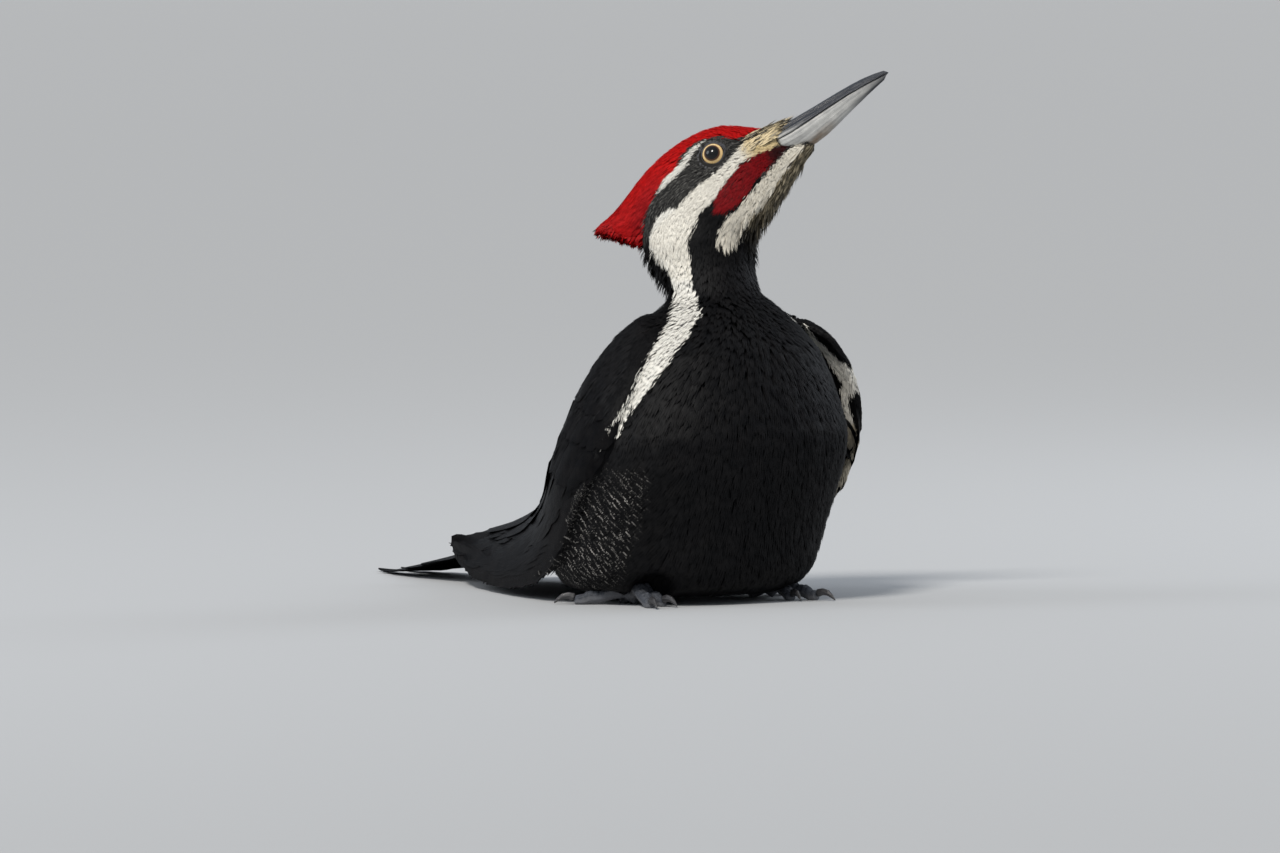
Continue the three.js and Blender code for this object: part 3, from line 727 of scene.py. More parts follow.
coat_finish = plumage("soft_plumage", 9.0, 1.6, 0.0, 0.58, 0.82, 0.25, 0.12)
vane_finish = plumage("stiff_plumage", 7.0, 70.0, 0.55, 0.48, 0.70, 0.35, 0.035)
skin_finish, tree, shader = material("bird_skin", Roughness=0.7, Specular_IOR_Level=0.08)
_, colour = plumed(tree, 60.0, 60.0)
wrinkles = node(tree, "ShaderNodeTexVoronoi", Scale=1400.0)
bumped(tree, shader, wrinkles.outputs["Distance"], 0.5, 0.0003)
skin_colour = mixed(tree, 0.05, colour.outputs[0], (0.03, 0.026, 0.026, 1))
link(tree, (skin_colour, shader["Base Color"]))

# %% [markdown]
# ## Bare skin, horn and eye finishes
# Toes are slate grey with paler scale edges. Horn, on bill and claws, has fine lines that run its length,
# so one grain group serves both. The eye is a painted ball under a clear wet coat.

# %% Grain group
grain_group, entry, leave = group(
    "horn_grain", {"Scale": 900.0, "Stretch": 0.06}, {"Grain": "NodeSocketFloat", "Wear": "NodeSocketFloat"}
)
across, along = vane_place(grain_group)
along_scaled = times(grain_group, along, entry["Scale"])
lengthwise = grain_group.nodes.new("ShaderNodeCombineXYZ")
lines = node(grain_group, "ShaderNodeTexNoise", Scale=1.0, Detail=4.0, Roughness=0.65)
patches = node(grain_group, "ShaderNodeTexNoise", Scale=180.0, Detail=3.0)
ground = grain_group.nodes.new("ShaderNodeTexCoord")
link(
    grain_group,
    (times(grain_group, across, entry["Scale"]), lengthwise.inputs[0]),
    (times(grain_group, along_scaled, entry["Stretch"]), lengthwise.inputs[1]),
    (lengthwise.outputs[0], lines.inputs["Vector"]),
    (ground.outputs["Object"], patches.inputs["Vector"]),
    (ramped(grain_group, lines.outputs["Fac"], 0.3, 0.7), leave["Grain"]),
    (ramped(grain_group, patches.outputs["Fac"], 0.35, 0.65), leave["Wear"]),
)

# %% Horn materials
HORN_SLATE, HORN_GREY = (0.010, 0.0115, 0.015, 1), (0.034, 0.038, 0.048, 1)
HORN_IVORY, HORN_GOLD = (0.53, 0.525, 0.50, 1), (0.16, 0.085, 0.022, 1)
HORN_BLACK = (0.010, 0.010, 0.012, 1)
CLAW_DARK, CLAW_GREY = (0.012, 0.012, 0.014, 1), (0.06, 0.058, 0.06, 1)


def horn(name, dark, light, roughness):
    """Horn whose marks are: how pale, how stained, how dark."""
    made, tree, shader = material(name, Roughness=roughness, Specular_IOR_Level=0.5)
    grain = placed(tree, grain_group, Scale=34.0, Stretch=0.07).outputs
    pale_share, stain_share, dark_share, _ = read_marks(tree)
    colour = mixed(tree, grain["Grain"], dark, light)
    pale_now = mixed(tree, times(tree, grain["Wear"], 0.35), HORN_IVORY, light)
    colour = mixed(tree, pale_share, colour, pale_now)
    stained = times(tree, stain_share, ramped(tree, grain["Wear"], 0, 1, 0.55, 1))
    colour = mixed(tree, stained, colour, HORN_GOLD)
    colour = mixed(tree, dark_share, colour, HORN_BLACK)
    bumped(tree, shader, grain["Grain"], 0.5, 0.0002)
    link(
        tree,
        (colour, shader["Base Color"]),
        (ramped(tree, grain["Wear"], 0, 1, roughness - 0.07, roughness + 0.10), shader["Roughness"]),
    )
    return made


bill_finish = horn("bill_horn", HORN_SLATE, HORN_GREY, 0.36)
claw_finish = horn("claw_horn", CLAW_DARK, CLAW_GREY, 0.35)

# %% Toe and lid materials
toe_finish, tree, shader = material("toe_scales", Specular_IOR_Level=0.25)
scute_share = read_marks(tree)[0]
scales = node(tree, "ShaderNodeTexVoronoi", feature="DISTANCE_TO_EDGE", Scale=720.0)
edge = ramped(tree, scales.outputs["Distance"], 0.02, 0.16, 1.0, 0.0)
grain = placed(tree, grain_group, Scale=700.0, Stretch=1.0)
plate = mixed(tree, grain.outputs["Wear"], (0.008, 0.010, 0.015, 1), (0.026, 0.030, 0.041, 1))
groove = ramped(tree, scute_share, 0.0, 0.45, 0.35, 0.0)
plate = mixed(tree, times(tree, edge, 0.30), plate, (0.25, 0.26, 0.28, 1))
plate = mixed(tree, groove, plate, (0.22, 0.22, 0.23, 1))
bumped(tree, shader, scales.outputs["Distance"], 0.6, 0.0003)
link(
    tree,
    (plate, shader["Base Color"]),
    (ramped(tree, grain.outputs["Wear"], 0, 1, 0.38, 0.6), shader["Roughness"]),
)
lid_finish, tree, shader = material("eyelid", Specular_IOR_Level=0.4)
pebbles = node(tree, "ShaderNodeTexVoronoi", Scale=2600.0)
cloud = node(tree, "ShaderNodeTexNoise", Scale=420.0, Detail=3.0)
lid_colour = mixed(tree, cloud.outputs["Fac"], (0.020, 0.021, 0.024, 1), (0.105, 0.105, 0.112, 1))
bumped(tree, shader, pebbles.outputs["Distance"], 0.55, 0.0002)
link(
    tree,
    (lid_colour, shader["Base Color"]),
    (ramped(tree, cloud.outputs["Fac"], 0.3, 0.7, 0.42, 0.62), shader["Roughness"]),
)

# %% Eye material
PUPIL_BLACK = (0.0015, 0.0015, 0.002, 1)
IRIS_AMBER, IRIS_STRAW = (0.72, 0.44, 0.16, 1), (0.86, 0.66, 0.34, 1)
eye_finish, tree, shader = material(
    "wet_eye", Roughness=0.25, Specular_IOR_Level=0.15, Coat_Weight=1.0, Coat_Roughness=0.02, Coat_IOR=1.33
)
ring_share, turn_share, _, _ = read_marks(tree)
rays = tree.nodes.new("ShaderNodeCombineXYZ")
fibres = node(tree, "ShaderNodeTexNoise", Scale=1.0, Detail=3.0)
link(
    tree,
    (times(tree, turn_share, 60.0), rays.inputs[0]),
    (times(tree, ring_share, 5.0), rays.inputs[1]),
    (rays.outputs[0], fibres.inputs["Vector"]),
)
iris = mixed(tree, ramped(tree, fibres.outputs["Fac"], 0.3, 0.7), IRIS_AMBER, IRIS_STRAW)
for start, end, before, after, ring_colour in (
    (0.585, 0.655, 1.0, 0.0, (0.060, 0.022, 0.008, 1)),
    (0.755, 0.790, 0.0, 1.0, (0.10, 0.045, 0.015, 1)),
    (0.79, 0.82, 0.0, 1.0, (0.006, 0.005, 0.005, 1)),
):
    iris = mixed(tree, ramped(tree, ring_share, start, end, before, after), iris, ring_colour)
pupil = ramped(tree, ring_share, 0.495, 0.515)
link(tree, (mixed(tree, pupil, PUPIL_BLACK, iris), shader["Base Color"]))
print("finishes:", [made.name for made in bpy.data.materials])

# %% [markdown]
# ## Bare skin: toes and eyelids
# Feathers leave only the toes and a ring round each eye bare. The toes get a finer wrap of their own,
# with a raised scute every few millimetres along the top of each toe. The eyelids are two low swells
# round the eyeball with fine creases that run outwards. Both join the skin before it is unwrapped.

# %% A search tree of the form
form_tree = BVHTree.FromPolygons([tuple(point) for point in form_points], form_quads.tolist())

# %% Toes
ANKLES = {"right": (-40.9, -98.4, -1), "left": (35.1, -98.4, 1)}
TOE_HEADINGS = (-8, 18, 128, -168)  # degrees outwards from straight ahead
SCUTE_PITCH = 2.5


def scuted(points, normals, ankle_x, ankle_y, sign):
    """How far up each point stands on a scute, from 0 in a groove to 1."""
    best = np.full(len(points), np.inf)
    height = np.zeros(len(points))
    for heading in TOE_HEADINGS:
        angle = math.radians(heading)
        ahead = np.array([sign * math.sin(angle), -math.cos(angle)])
        from_ankle = points[:, :2] - (ankle_x, ankle_y)
        along = from_ankle @ ahead
        aside = np.abs(from_ankle @ np.array([-ahead[1], ahead[0]]))
        mine = (along > 0) & (aside < best)
        best = np.where(mine, aside, best)
        wave = np.abs(np.sin(math.pi * along / SCUTE_PITCH)) ** 0.45
        height = np.where(mine, wave, height)
    return height * smoothstep(normals[:, 2], -0.1, 0.5)


toe_points, toe_quads, toe_scutes = [], [], []
for side, (ankle_x, ankle_y, sign) in ANKLES.items():
    points, quads = wrap([f"foot_{side}"], 0.55, swell=0.05, smoothing=4)
    normals = surface_normals(points, quads)
    scutes = scuted(points, normals, ankle_x, ankle_y, sign)
    points = points + normals * (0.42 * (scutes - 0.75) * smoothstep(points[:, 2], 0.6, 2.0))[:, None]
    points[:, 2] = np.maximum(points[:, 2], 0.0)
    toe_quads.append(quads + sum(len(other) for other in toe_points))
    toe_points.append(points)
    toe_scutes.append(scutes)
toe_points, toe_quads, toe_scutes = map(np.concatenate, (toe_points, toe_quads, toe_scutes))
print("toes:", len(toe_quads), "quads")

# %% Eyelids
EYE_SIDES = {"right": 1, "left": -1}
EYE_RADIUS, EYE_FLATNESS = 6.0, 0.86
LID_OPENING, LID_OUTER = 4.75, 7.6
LID_TURNS, LID_STEPS = 96, 14


def hump(value, middle, width):
    """1 at the middle, and softly down to 0 on both sides."""
    return np.exp(-(((value - middle) / width) ** 2))


def ring_quads(bands, turns, order):
    """Quads between rings of points. Order is 1 or -1 and says which way they face."""
    quads = []
    for band in range(bands):
        for turn in range(turns):
            a, b = band * turns + turn, band * turns + (turn + 1) % turns
            quads.append((a, b, b + turns, a + turns)[::order])
    return np.array(quads)


def lids(side):
    """A ring of skin from the eyeball out to the head, mm."""
    middle = box_middle(f"eye_{side}")
    outward = head_right * EYE_SIDES[side]
    turns = np.linspace(0, 2 * math.pi, LID_TURNS, endpoint=False)
    rows = []
    corner = 0.55 * np.abs(np.cos(turns)) ** 14  # the opening is a little longer in front and behind
    for step in range(LID_STEPS):
        share = step / (LID_STEPS - 1)
        radius = LID_OPENING + (LID_OUTER - LID_OPENING) * share + corner * (1 - share)
        ball = EYE_FLATNESS * np.sqrt(np.maximum(EYE_RADIUS**2 - np.minimum(radius, 5.9) ** 2, 0))
        places = middle + radius[:, None] * (
            np.cos(turns)[:, None] * head_forward + np.sin(turns)[:, None] * head_up
        )
        ground = []
        for place, rise in zip(places, ball):
            hit = form_tree.ray_cast(place + outward * 12, -outward)
            ground.append((hit[0] - Vector(place)) @ Vector(outward) if hit[0] else rise)
        ground = np.array(ground) - 0.55
        swell = 0.42 * hump(share, 0.20, 0.13) + 0.30 * hump(share, 0.55, 0.14)
        crease = 0.07 * np.sin(turns * 23 + 1.5 * np.sin(turns * 5)) * math.sin(math.pi * share)
        blend = smoothstep(np.full(LID_TURNS, share), 0.1, 0.75)
        rise = (ball + 0.10) * (1 - blend) + ground * blend + swell + crease
        rows.append(places + outward * rise[:, None])
    inner = middle + (rows[0] - middle) * 0.96 - outward * 0.9
    rows.insert(0, inner)
    return np.concatenate(rows), ring_quads(len(rows) - 1, LID_TURNS, -EYE_SIDES[side])


# %% [markdown]
# ## The skin piece and its unwrap
# The unwrap cuts the skin's own shape into flat islands. Every tuft borrows its place on that unwrap.

# %% Skin
skin_parts = [(skin_points, form_quads), (toe_points, toe_quads), lids("right"), lids("left")]
starts = np.cumsum([0] + [len(points) for points, _ in skin_parts])
all_skin_quads = np.concatenate([quads + first for (_, quads), first in zip(skin_parts, starts)])
bare_marks = np.zeros((starts[-1] - len(skin_points), 4))
bare_marks[: len(toe_points), 0] = toe_scutes
skin = piece(
    "skin",
    np.concatenate([points for points, _ in skin_parts]),
    all_skin_quads,
    skin_finish,
    FEATHERED + ["foot_right", "foot_left"],
    marks=np.concatenate([skin_marks, bare_marks]),
    vane=np.zeros((starts[-1], 2)),
)
skin.data.materials.append(toe_finish)
skin.data.materials.append(lid_finish)
first_toe, first_lid = len(form_quads), len(form_quads) + len(toe_quads)
kind = np.zeros(len(all_skin_quads), np.int32)
kind[first_toe:first_lid] = 1
kind[first_lid:] = 2
skin.data.polygons.foreach_set("material_index", kind)
skin.data.uv_layers.active = skin.data.uv_layers.new(name="OFBake")
bpy.context.view_layer.objects.active = skin
skin.select_set(True)
bpy.ops.object.mode_set(mode="EDIT")
bpy.ops.mesh.select_all(action="SELECT")
bpy.ops.uv.smart_project(angle_limit=math.radians(66), island_margin=0.003)
bpy.ops.object.mode_set(mode="OBJECT")
skin.select_set(False)
unwrap = np.empty(len(all_skin_quads) * 8, np.float32)
skin.data.uv_layers["OFBake"].uv.foreach_get("vector", unwrap)
unwrap = unwrap.reshape(-1, 4, 2)[: len(form_quads)]
print("unwrap spans", unwrap.min(axis=(0, 1)).round(2), unwrap.max(axis=(0, 1)).round(2))

# %% [markdown]
# ## Growing a tuft
# A tuft starts on the skin, takes three steps over the form in the direction of the coat, and rises from
# the skin to the form on its way. Its shape comes from a small template told as along, across and height,
# which is bent along those steps. Random choices are few: a little more or less length, width, lean and
# lift.


# %% Look up the form
def corner_shares(faces, spots):
    """How much each corner of a face counts at a spot on it. Near corners count most."""
    gaps = np.linalg.norm(form_points[form_quads[faces]] - spots[:, None], axis=2)
    weights = 1 / (gaps**2 + 1e-3)
    return weights / weights.sum(axis=1, keepdims=True)


def read(values, faces, weights):
    """Values of the form's points, read at spots on its faces."""
    return (values[form_quads[faces]] * weights[..., None]).sum(axis=1)


def land(points):
    """The nearest face and spot on the form for each point."""
    found = [form_tree.find_nearest(point) for point in points]
    return np.array([hit[2] for hit in found]), np.array([tuple(hit[0]) for hit in found])


def stations_from(faces, spots, lengths, direction_of, steps, wander):
    """Points, normals and coat depths at even steps over the form, starting at the given spots."""
    rows = []
    for step in range(steps + 1):
        weights = corner_shares(faces, spots)
        normals = unit(read(even_normals, faces, weights))
        rows.append((spots, normals, read(depth[:, None], faces, weights)[:, 0]))
        if step < steps:
            ahead = direction_of(spots, normals) + wander
            ahead = unit(ahead - (ahead * normals).sum(axis=1, keepdims=True) * normals)
            faces, spots = land(spots + ahead * (lengths / steps)[:, None])
    return [np.stack(column, axis=1) for column in zip(*rows)]


def bend_weights(along, count):
    """Smooth shares of each of count even stations for places along a line from 0 to 1."""
    table = np.zeros((len(along), count))
    where = np.clip(along, 0, 1) * (count - 1)
    first = np.minimum(where.astype(int), count - 2)
    t = where - first
    curve = [-t + 2 * t**2 - t**3, 2 - 5 * t**2 + 3 * t**3, t + 4 * t**2 - 3 * t**3, -(t**2) + t**3]
    for offset, share in zip((-1, 0, 1, 2), curve):
        spot = first + offset
        low, high = spot < 0, spot > count - 1
        rows = np.arange(len(along))
        middle = ~low & ~high
        np.add.at(table, (rows[middle], spot[middle]), share[middle] / 2)
        np.add.at(table, (rows[low], 0), share[low])
        np.add.at(table, (rows[low], 1), -share[low] / 2)
        np.add.at(table, (rows[high], count - 1), share[high])
        np.add.at(table, (rows[high], count - 2), -share[high] / 2)
    return table


def bent(template, line, normals, half_widths, rolls, roundness):
    """Copies of a template along many lines: their points, and normals that follow the lie of the coat."""
    ahead = unit(np.gradient(line, axis=1))
    out = unit(normals - (normals * ahead).sum(axis=2, keepdims=True) * ahead)
    across = np.cross(ahead, out)
    turn = rolls[:, None, None]
    across, out = across * np.cos(turn) + out * np.sin(turn), out * np.cos(turn) - across * np.sin(turn)
    weights = bend_weights(template[:, 0], line.shape[1])
    place, side, rise = (np.einsum("mk,nkd->nmd", weights, rows) for rows in (line, across, out))
    size = half_widths[:, None, None]
    aside, height = template[:, 1][None, :, None], template[:, 2][None, :, None]
    points = place + side * aside * size + rise * height * size
    points[..., 2] = np.maximum(points[..., 2], 0.25)
    return points, unit(rise + side * aside * roundness)


# %% Feathers along lines
def feathers(lines, normals, half_widths, roots, marks, templates, rolls=None, roundness=0.3):
    """One template, drawn by lot, along each line. Roots are (face, spot) pairs on the form."""
    faces, spots = roots
    count = len(lines)
    rolls = np.zeros(count) if rolls is None else rolls
    weights = corner_shares(faces, spots)
    patch_middle = (unwrap[faces] * weights[..., None]).sum(axis=1)
    patch_width = 0.003
    kind = chance.integers(0, len(templates), count)
    turn = np.floor(chance.random(count) * 64)[:, None, None] * (1, 0)
    made, start = [], 0
    for number, (template, triangles, samples) in enumerate(templates):
        mine = kind == number
        points, shading = bent(
            template, lines[mine], normals[mine], half_widths[mine], rolls[mine], roundness
        )
        vane = np.stack([np.clip(0.5 + 0.42 * template[:, 1], 0.02, 0.98), template[:, 0]], axis=1)
        amount, size = points.shape[:2]
        if callable(marks):  # each blade is coloured by the place it reaches
            seen = marks(points[:, samples].reshape(-1, 3)).reshape(amount, len(samples), 4)
            colours = np.repeat(seen, size // len(samples), axis=1).reshape(-1, 4)
        else:
            colours = np.repeat(marks[mine], size, axis=0)
        corners = triangles[None] + (start + np.arange(amount) * size)[:, None, None]
        patches = patch_middle[mine][:, None] + patch_width * (np.clip(vane, 0, 1)[None] - 0.5)
        made.append(
            (
                points.reshape(-1, 3),
                corners.reshape(-1, 3),
                colours,
                (vane[None] + turn[mine]).reshape(-1, 2),
                patches.reshape(-1, 2),
                shading.reshape(-1, 3),
            )
        )
        start += amount * size
    return [np.concatenate(column) for column in zip(*made)]


def joined_feathers(name, sets, finish, replaces):
    """One piece from several sets of feathers."""
    starts = np.cumsum([0] + [len(one[0]) for one in sets])
    for one, start in zip(sets, starts):
        one[1] = one[1] + start
    points, faces, marks, vane, patch, shading = (np.concatenate(column) for column in zip(*sets))
    return piece(name, points, faces, finish, replaces, marks, vane, patch, shading)


# %% Template of a soft tuft
def tuft_template(blades, steps, fineness, spread, ragged, seed):
    """Closed three-sided blades that fan out from the root. Columns: along, across, height."""
    draw = np.random.default_rng(seed)
    points, faces, samples = [], [], []
    for blade in range(blades + 1):
        lane = -1 + 2 * (blade + 0.5) / blades + draw.normal(0, 0.5) / blades
        reach = 1 - 0.20 * lane**2 - ragged * draw.random()
        lean, layer = draw.normal(0, 0.10), draw.uniform(-0.06, 0.12)
        width = fineness
        if blade == blades:  # one wide low blade under the others, so that no gap shows the skin
            lane, reach, lean, layer, width = 0.0, 0.84, 0.0, -0.14, 0.62
        first = len(points)
        samples.append(first + 3 * (steps - 1) + 1)
        for step in range(steps):
            share = step / steps
            along = 0.03 * draw.random() * (step == 0) + reach * share
            middle = lane * (0.5 + (spread - 0.5) * share) + lean * share
            half = width * (0.8 + 0.5 * math.sin(math.pi * min(1, share * 1.3)))
            rise = layer * share
            ridge = rise + min(half, 2 * fineness) * 0.5
            points += [(along, middle - half, rise), (along, middle, ridge), (along, middle + half, rise)]
        points.append((reach, lane * spread + lean, layer))
        faces.append((first + 2, first + 1, first))
        for step in range(steps - 1):
            for corner in range(3):
                a, b = first + 3 * step + corner, first + 3 * step + (corner + 1) % 3
                faces += [(a, b, a + 3), (a + 3, b, b + 3)]
        last, tip = first + 3 * (steps - 1), len(points) - 1
        faces += [(last + corner, last + (corner + 1) % 3, tip) for corner in range(3)]
    return np.array(points), np.array(faces), np.array(samples)


# %% Spread roots evenly
quad_middles = form_points[form_quads].mean(axis=1)
quad_normals = even_normals[form_quads].mean(axis=1)
quad_parts = form_part[form_quads[:, 0]]
quad_areas = 0.5 * np.linalg.norm(quad_cross(form_points, form_quads), axis=1)
HEAD_FROM = 158  # whatever grows above this height belongs to the head, mm
BARE_RING = 6.9  # no feathers grow this close to the middle of an eye, mm
TRIES = 3.2  # places tried on each square that is as wide as the spacing
CHIN_TOP = ([0, 10.5, 21.2, 30.2, 37], [-35, -30, -23, -17, -13])  # forward and up


def coat_sizes(points, normals, part):
    """Spacing, length and half width of the tufts at each point, mm."""
    forward, up, _ = on_head(points).T
    height = points[:, 2]
    behind = smoothstep(normals[:, 1], -0.1, 0.5)
    upper = smoothstep(height, 100, 135)
    spacing = (2.0 + 0.7 * behind) * (1 - upper) + 1.42 * upper
    length = (15.0 + 4.0 * behind) * (1 - upper) + 9.5 * upper
    in_stripe = np.maximum(stroke(points, RIGHT_STRIPE), stroke(points, LEFT_STRIPE))
    near_stripe = smoothstep(in_stripe, -3, 0)
    spacing = spacing * (1 - near_stripe) + 1.15 * near_stripe
    length = length * (1 - near_stripe) + 7.5 * near_stripe
    # the face: short and close, and shortest round the eye and at the bill
    is_head = np.isin(part, [HEAD, CREST]) | (height > HEAD_FROM)
    to_bill = smoothstep(forward, 10, 30)
    to_eye = 1 - smoothstep(from_eye(forward, up), 7, 14)
    small = np.maximum(to_bill, to_eye)
    low_head = smoothstep(-up, 14, 34)
    spacing = np.where(is_head, 0.82 - 0.14 * small + 0.34 * low_head * (1 - small), spacing)
    length = np.where(is_head, 5.4 - 2.8 * small + 3.4 * low_head * (1 - small), length)
    chin = is_head & (forward > 0) & (up < np.interp(forward, *CHIN_TOP))
    spacing = np.where(chin, 1.0, spacing)
    length = np.where(chin, 7.0, length)
    # the cap: longer and longer towards the tip of the crest
    is_cap = is_head & (up > cap_border(forward))
    spacing = np.where(is_cap, 0.92 - 0.14 * to_bill, spacing)
    length = np.where(is_cap, 6.5 + 9.5 * smoothstep(-forward, 0, 38) - 2.5 * to_bill, length)
    return spacing, length, spacing * np.where(is_head, 0.95, 1.0)


quad_spacing = coat_sizes(quad_middles, quad_normals, quad_parts)[0]
forward, up, right = on_head(quad_middles).T
bare = quad_parts >= RIGHT_WING
bare |= (quad_middles[:, 2] < 5) & (quad_normals[:, 2] < -0.5)
bare |= (from_eye(forward, up) < BARE_RING) & (np.abs(right) > 8)
chances = np.where(bare, 0, quad_areas * TRIES / quad_spacing**2)
picked = chance.choice(len(form_quads), int(chances.sum()), p=chances / chances.sum())
s, t = chance.random((2, len(picked), 1))
first, second, third, fourth = form_points[form_quads[picked]].transpose(1, 0, 2)
root_spots = (first * (1 - s) + second * s) * (1 - t) + (fourth * (1 - s) + third * s) * t
nearby = KDTree(len(root_spots))
for index, spot in enumerate(root_spots):
    nearby.insert(spot, index)
nearby.balance()
free = np.ones(len(root_spots), bool)
kept_roots = []
for index, spot in enumerate(root_spots):
    if free[index]:
        kept_roots.append(index)
        for _, other, _ in nearby.find_range(spot, quad_spacing[picked[index]]):
            free[other] = False
root_spots, root_faces = root_spots[kept_roots], picked[kept_roots]
print("roots of tufts:", len(root_spots), "of", len(picked), "tries")

# %% Grow tufts
STEPS = 3  # of each tuft over the form
RISING = np.array([0.0, 0.60, 0.90, 1.0])  # from the skin to the form
LIFTED = np.array([0, 0.3, 0.7, 1.0])  # and above the form


def grow(
    name,
    spots,
    faces,
    sizes,
    templates,
    replaces,
    lift,
    wander=0.07,
    direction_of=lie_of_coat,
    free=0.0,
    colour=None,
):
    """Tufts over the form. free is how far the tips leave the form and keep straight on."""
    _, length, half_width = sizes
    count = len(spots)
    length = length * chance.uniform(0.85, 1.15, count)
    half_width = half_width * chance.uniform(0.85, 1.2, count)
    wandering = chance.normal(0, wander, (count, 3))
    line, normals, depths = stations_from(faces, spots, length, direction_of, STEPS, wandering)
    extra = chance.uniform(-0.5, 1.0, (count, 1)) * lift * LIFTED
    heights = -depths * (1 - RISING) + extra
    ahead = unit(direction_of(spots, normals[:, 0]) + wandering)
    share = np.linspace(0, 1, STEPS + 1)[:, None]
    straight = spots[:, None] + ahead[:, None] * length[:, None, None] * share
    line = line * (1 - free) + straight * free + normals * heights[..., None]
    line[..., 2] = np.maximum(line[..., 2], 0.6)

    def marks(places):
        if colour is not None:
            return np.array(colour)[chance.integers(0, len(colour), len(places))]
        shaken = np.where(places[:, 2:] > HEAD_FROM, 0.42, 0.60)  # how far a blade strays over a border, mm
        return markings(places + chance.normal(0, 1, places.shape) * shaken, chance.random(len(places)))

    made = feathers(line, normals, half_width, (faces, spots), marks, templates, roundness=0.2)
    return joined_feathers(name, [made], coat_finish, replaces)


root_parts = form_part[form_quads[root_faces][:, 0]]
root_normals = quad_normals[root_faces]
sizes = np.stack(coat_sizes(root_spots, root_normals, root_parts))
forward, up, right = on_head(root_spots).T
on_top = np.isin(root_parts, [HEAD, CREST]) | (root_spots[:, 2] > HEAD_FROM)
on_cap = on_top & (up > cap_border(forward) - 0.5) & (forward < 27)
on_neck = ~on_top & ((root_parts == NECK) | (root_spots[:, 2] > 118))
on_back = ~on_top & ~on_neck & (root_normals[:, 1] > 0.1)
on_breast = ~on_top & ~on_neck & ~on_back
# Tufts in front of the eye stop short of it.
eye_room = from_eye(forward, up) - BARE_RING
toward_eye = on_top & (forward > EYE_FORWARD + 2) & (np.abs(up - EYE_UP) < 8) & (eye_room < 6)
sizes[1] = np.where(toward_eye, np.minimum(sizes[1], 0.9 + 0.8 * np.maximum(eye_room, 0)), sizes[1])

fine = [tuft_template(5, 2, 0.15, 1.0, 0.25, seed) for seed in range(5)]
long_fine = [tuft_template(4, 3, 0.16, 0.9, 0.22, seed + 10) for seed in range(5)]
broad = [tuft_template(5, 3, 0.17, 1.0, 0.28, seed + 20) for seed in range(5)]
right_side = right > 0
right_breast = root_spots[:, 0] < BODY_MIDDLE_X
for name, mine, templates, replaces, lift in (
    ("coat_face_right", on_top & ~on_cap & right_side, fine, ["head"], 0.16),
    ("coat_face_left", on_top & ~on_cap & ~right_side, fine, ["head"], 0.16),
    ("coat_crest", on_cap, long_fine, ["crest"], 0.25),
    ("coat_neck_right", on_neck & right_breast, broad, ["neck"], 0.30),
    ("coat_neck_left", on_neck & ~right_breast, broad, ["neck"], 0.30),
    ("coat_breast_right", on_breast & right_breast, broad, ["trunk"], 0.22),
    ("coat_breast_left", on_breast & ~right_breast, broad, ["trunk"], 0.22),
    ("coat_back", on_back, broad, ["trunk"], 0.4),
):
    grow(name, root_spots[mine], root_faces[mine], sizes[:, mine], templates, replaces, lift)

# %% [markdown]
# ## Bristles and loose fringes
# Wood dust would fill open nostrils, so cream bristles grow forward from the face and lie over the base
# of the bill, with some dark hairs on top. Where the coat ends in the open, as at the tip of the crest,
# behind the crest's lower edge, at the nape and on the chin, loose hairs stand away from the form. All of
# them are tufts like the others, only combed another way or told to leave the form and run straight on.


# %% Nostril bristles
def towards_bill(points, normals):
    """The direction of the bristles, for grow: forward over the bill, and in towards its ridge."""
    aside = np.sign(on_head(points)[:, 2])[:, None]
    return unit(head_forward - 0.03 * head_up - 0.15 * aside * head_right + 0.03 * normals)


def roots_near(stations, reach, amount, spread=0.3):
    """Places for extra tufts on the head within a stroke that is drawn in its side view."""
    views = on_head(quad_middles)[:, :2]
    zone = np.flatnonzero((stroke(views, stations) > 0) & np.isin(quad_parts, [NECK, HEAD, CREST]) & reach)
    spots = quad_middles[chance.choice(zone, amount)]
    return land(spots + chance.normal(0, spread, (amount, 3)))


BRISTLE_LINE = [(14, -4.8, 1.5), (19, -3.4, 2.2), (24, -2.0, 2.7), (27, -1.2, 2.7)]
DARK_LINE = [(15, 0.0, 0.8), (20, 0.9, 1.2), (25, 2.0, 1.6), (27, 2.2, 1.8)]
CREAM_HAIR, GREY_HAIR, BLACK_HAIR = (0.95, 0.0, 0.85, 0.0), (0.40, 0.0, 0.5, 0.0), (0.03, 0.0, 0.6, 0.0)
anywhere = np.ones(len(quad_middles), bool)
wisps = [tuft_template(4, 3, 0.13, 1.1, 0.4, seed + 40) for seed in range(4)]
for name, stations, amount, length, colour in (
    ("coat_nostrils", BRISTLE_LINE, 380, 11.5, (CREAM_HAIR,) * 4 + (GREY_HAIR,)),
    ("coat_nostril_ridge", DARK_LINE, 200, 16.0, (CREAM_HAIR, GREY_HAIR, BLACK_HAIR, BLACK_HAIR)),
):
    faces, spots = roots_near(stations, anywhere, amount)
    ahead_of = smoothstep(on_head(spots)[:, 0], 13, 25)
    uneven = chance.uniform(0.5, 1.0, amount)
    lengths = length * (0.45 + 0.55 * ahead_of) * uneven
    sizes_here = np.stack([np.full(amount, 1.0), lengths, np.full(amount, 0.62)])
    grow(name, spots, faces, sizes_here, wisps, ["head"], 0.25, 0.06, towards_bill, 0.9, colour)

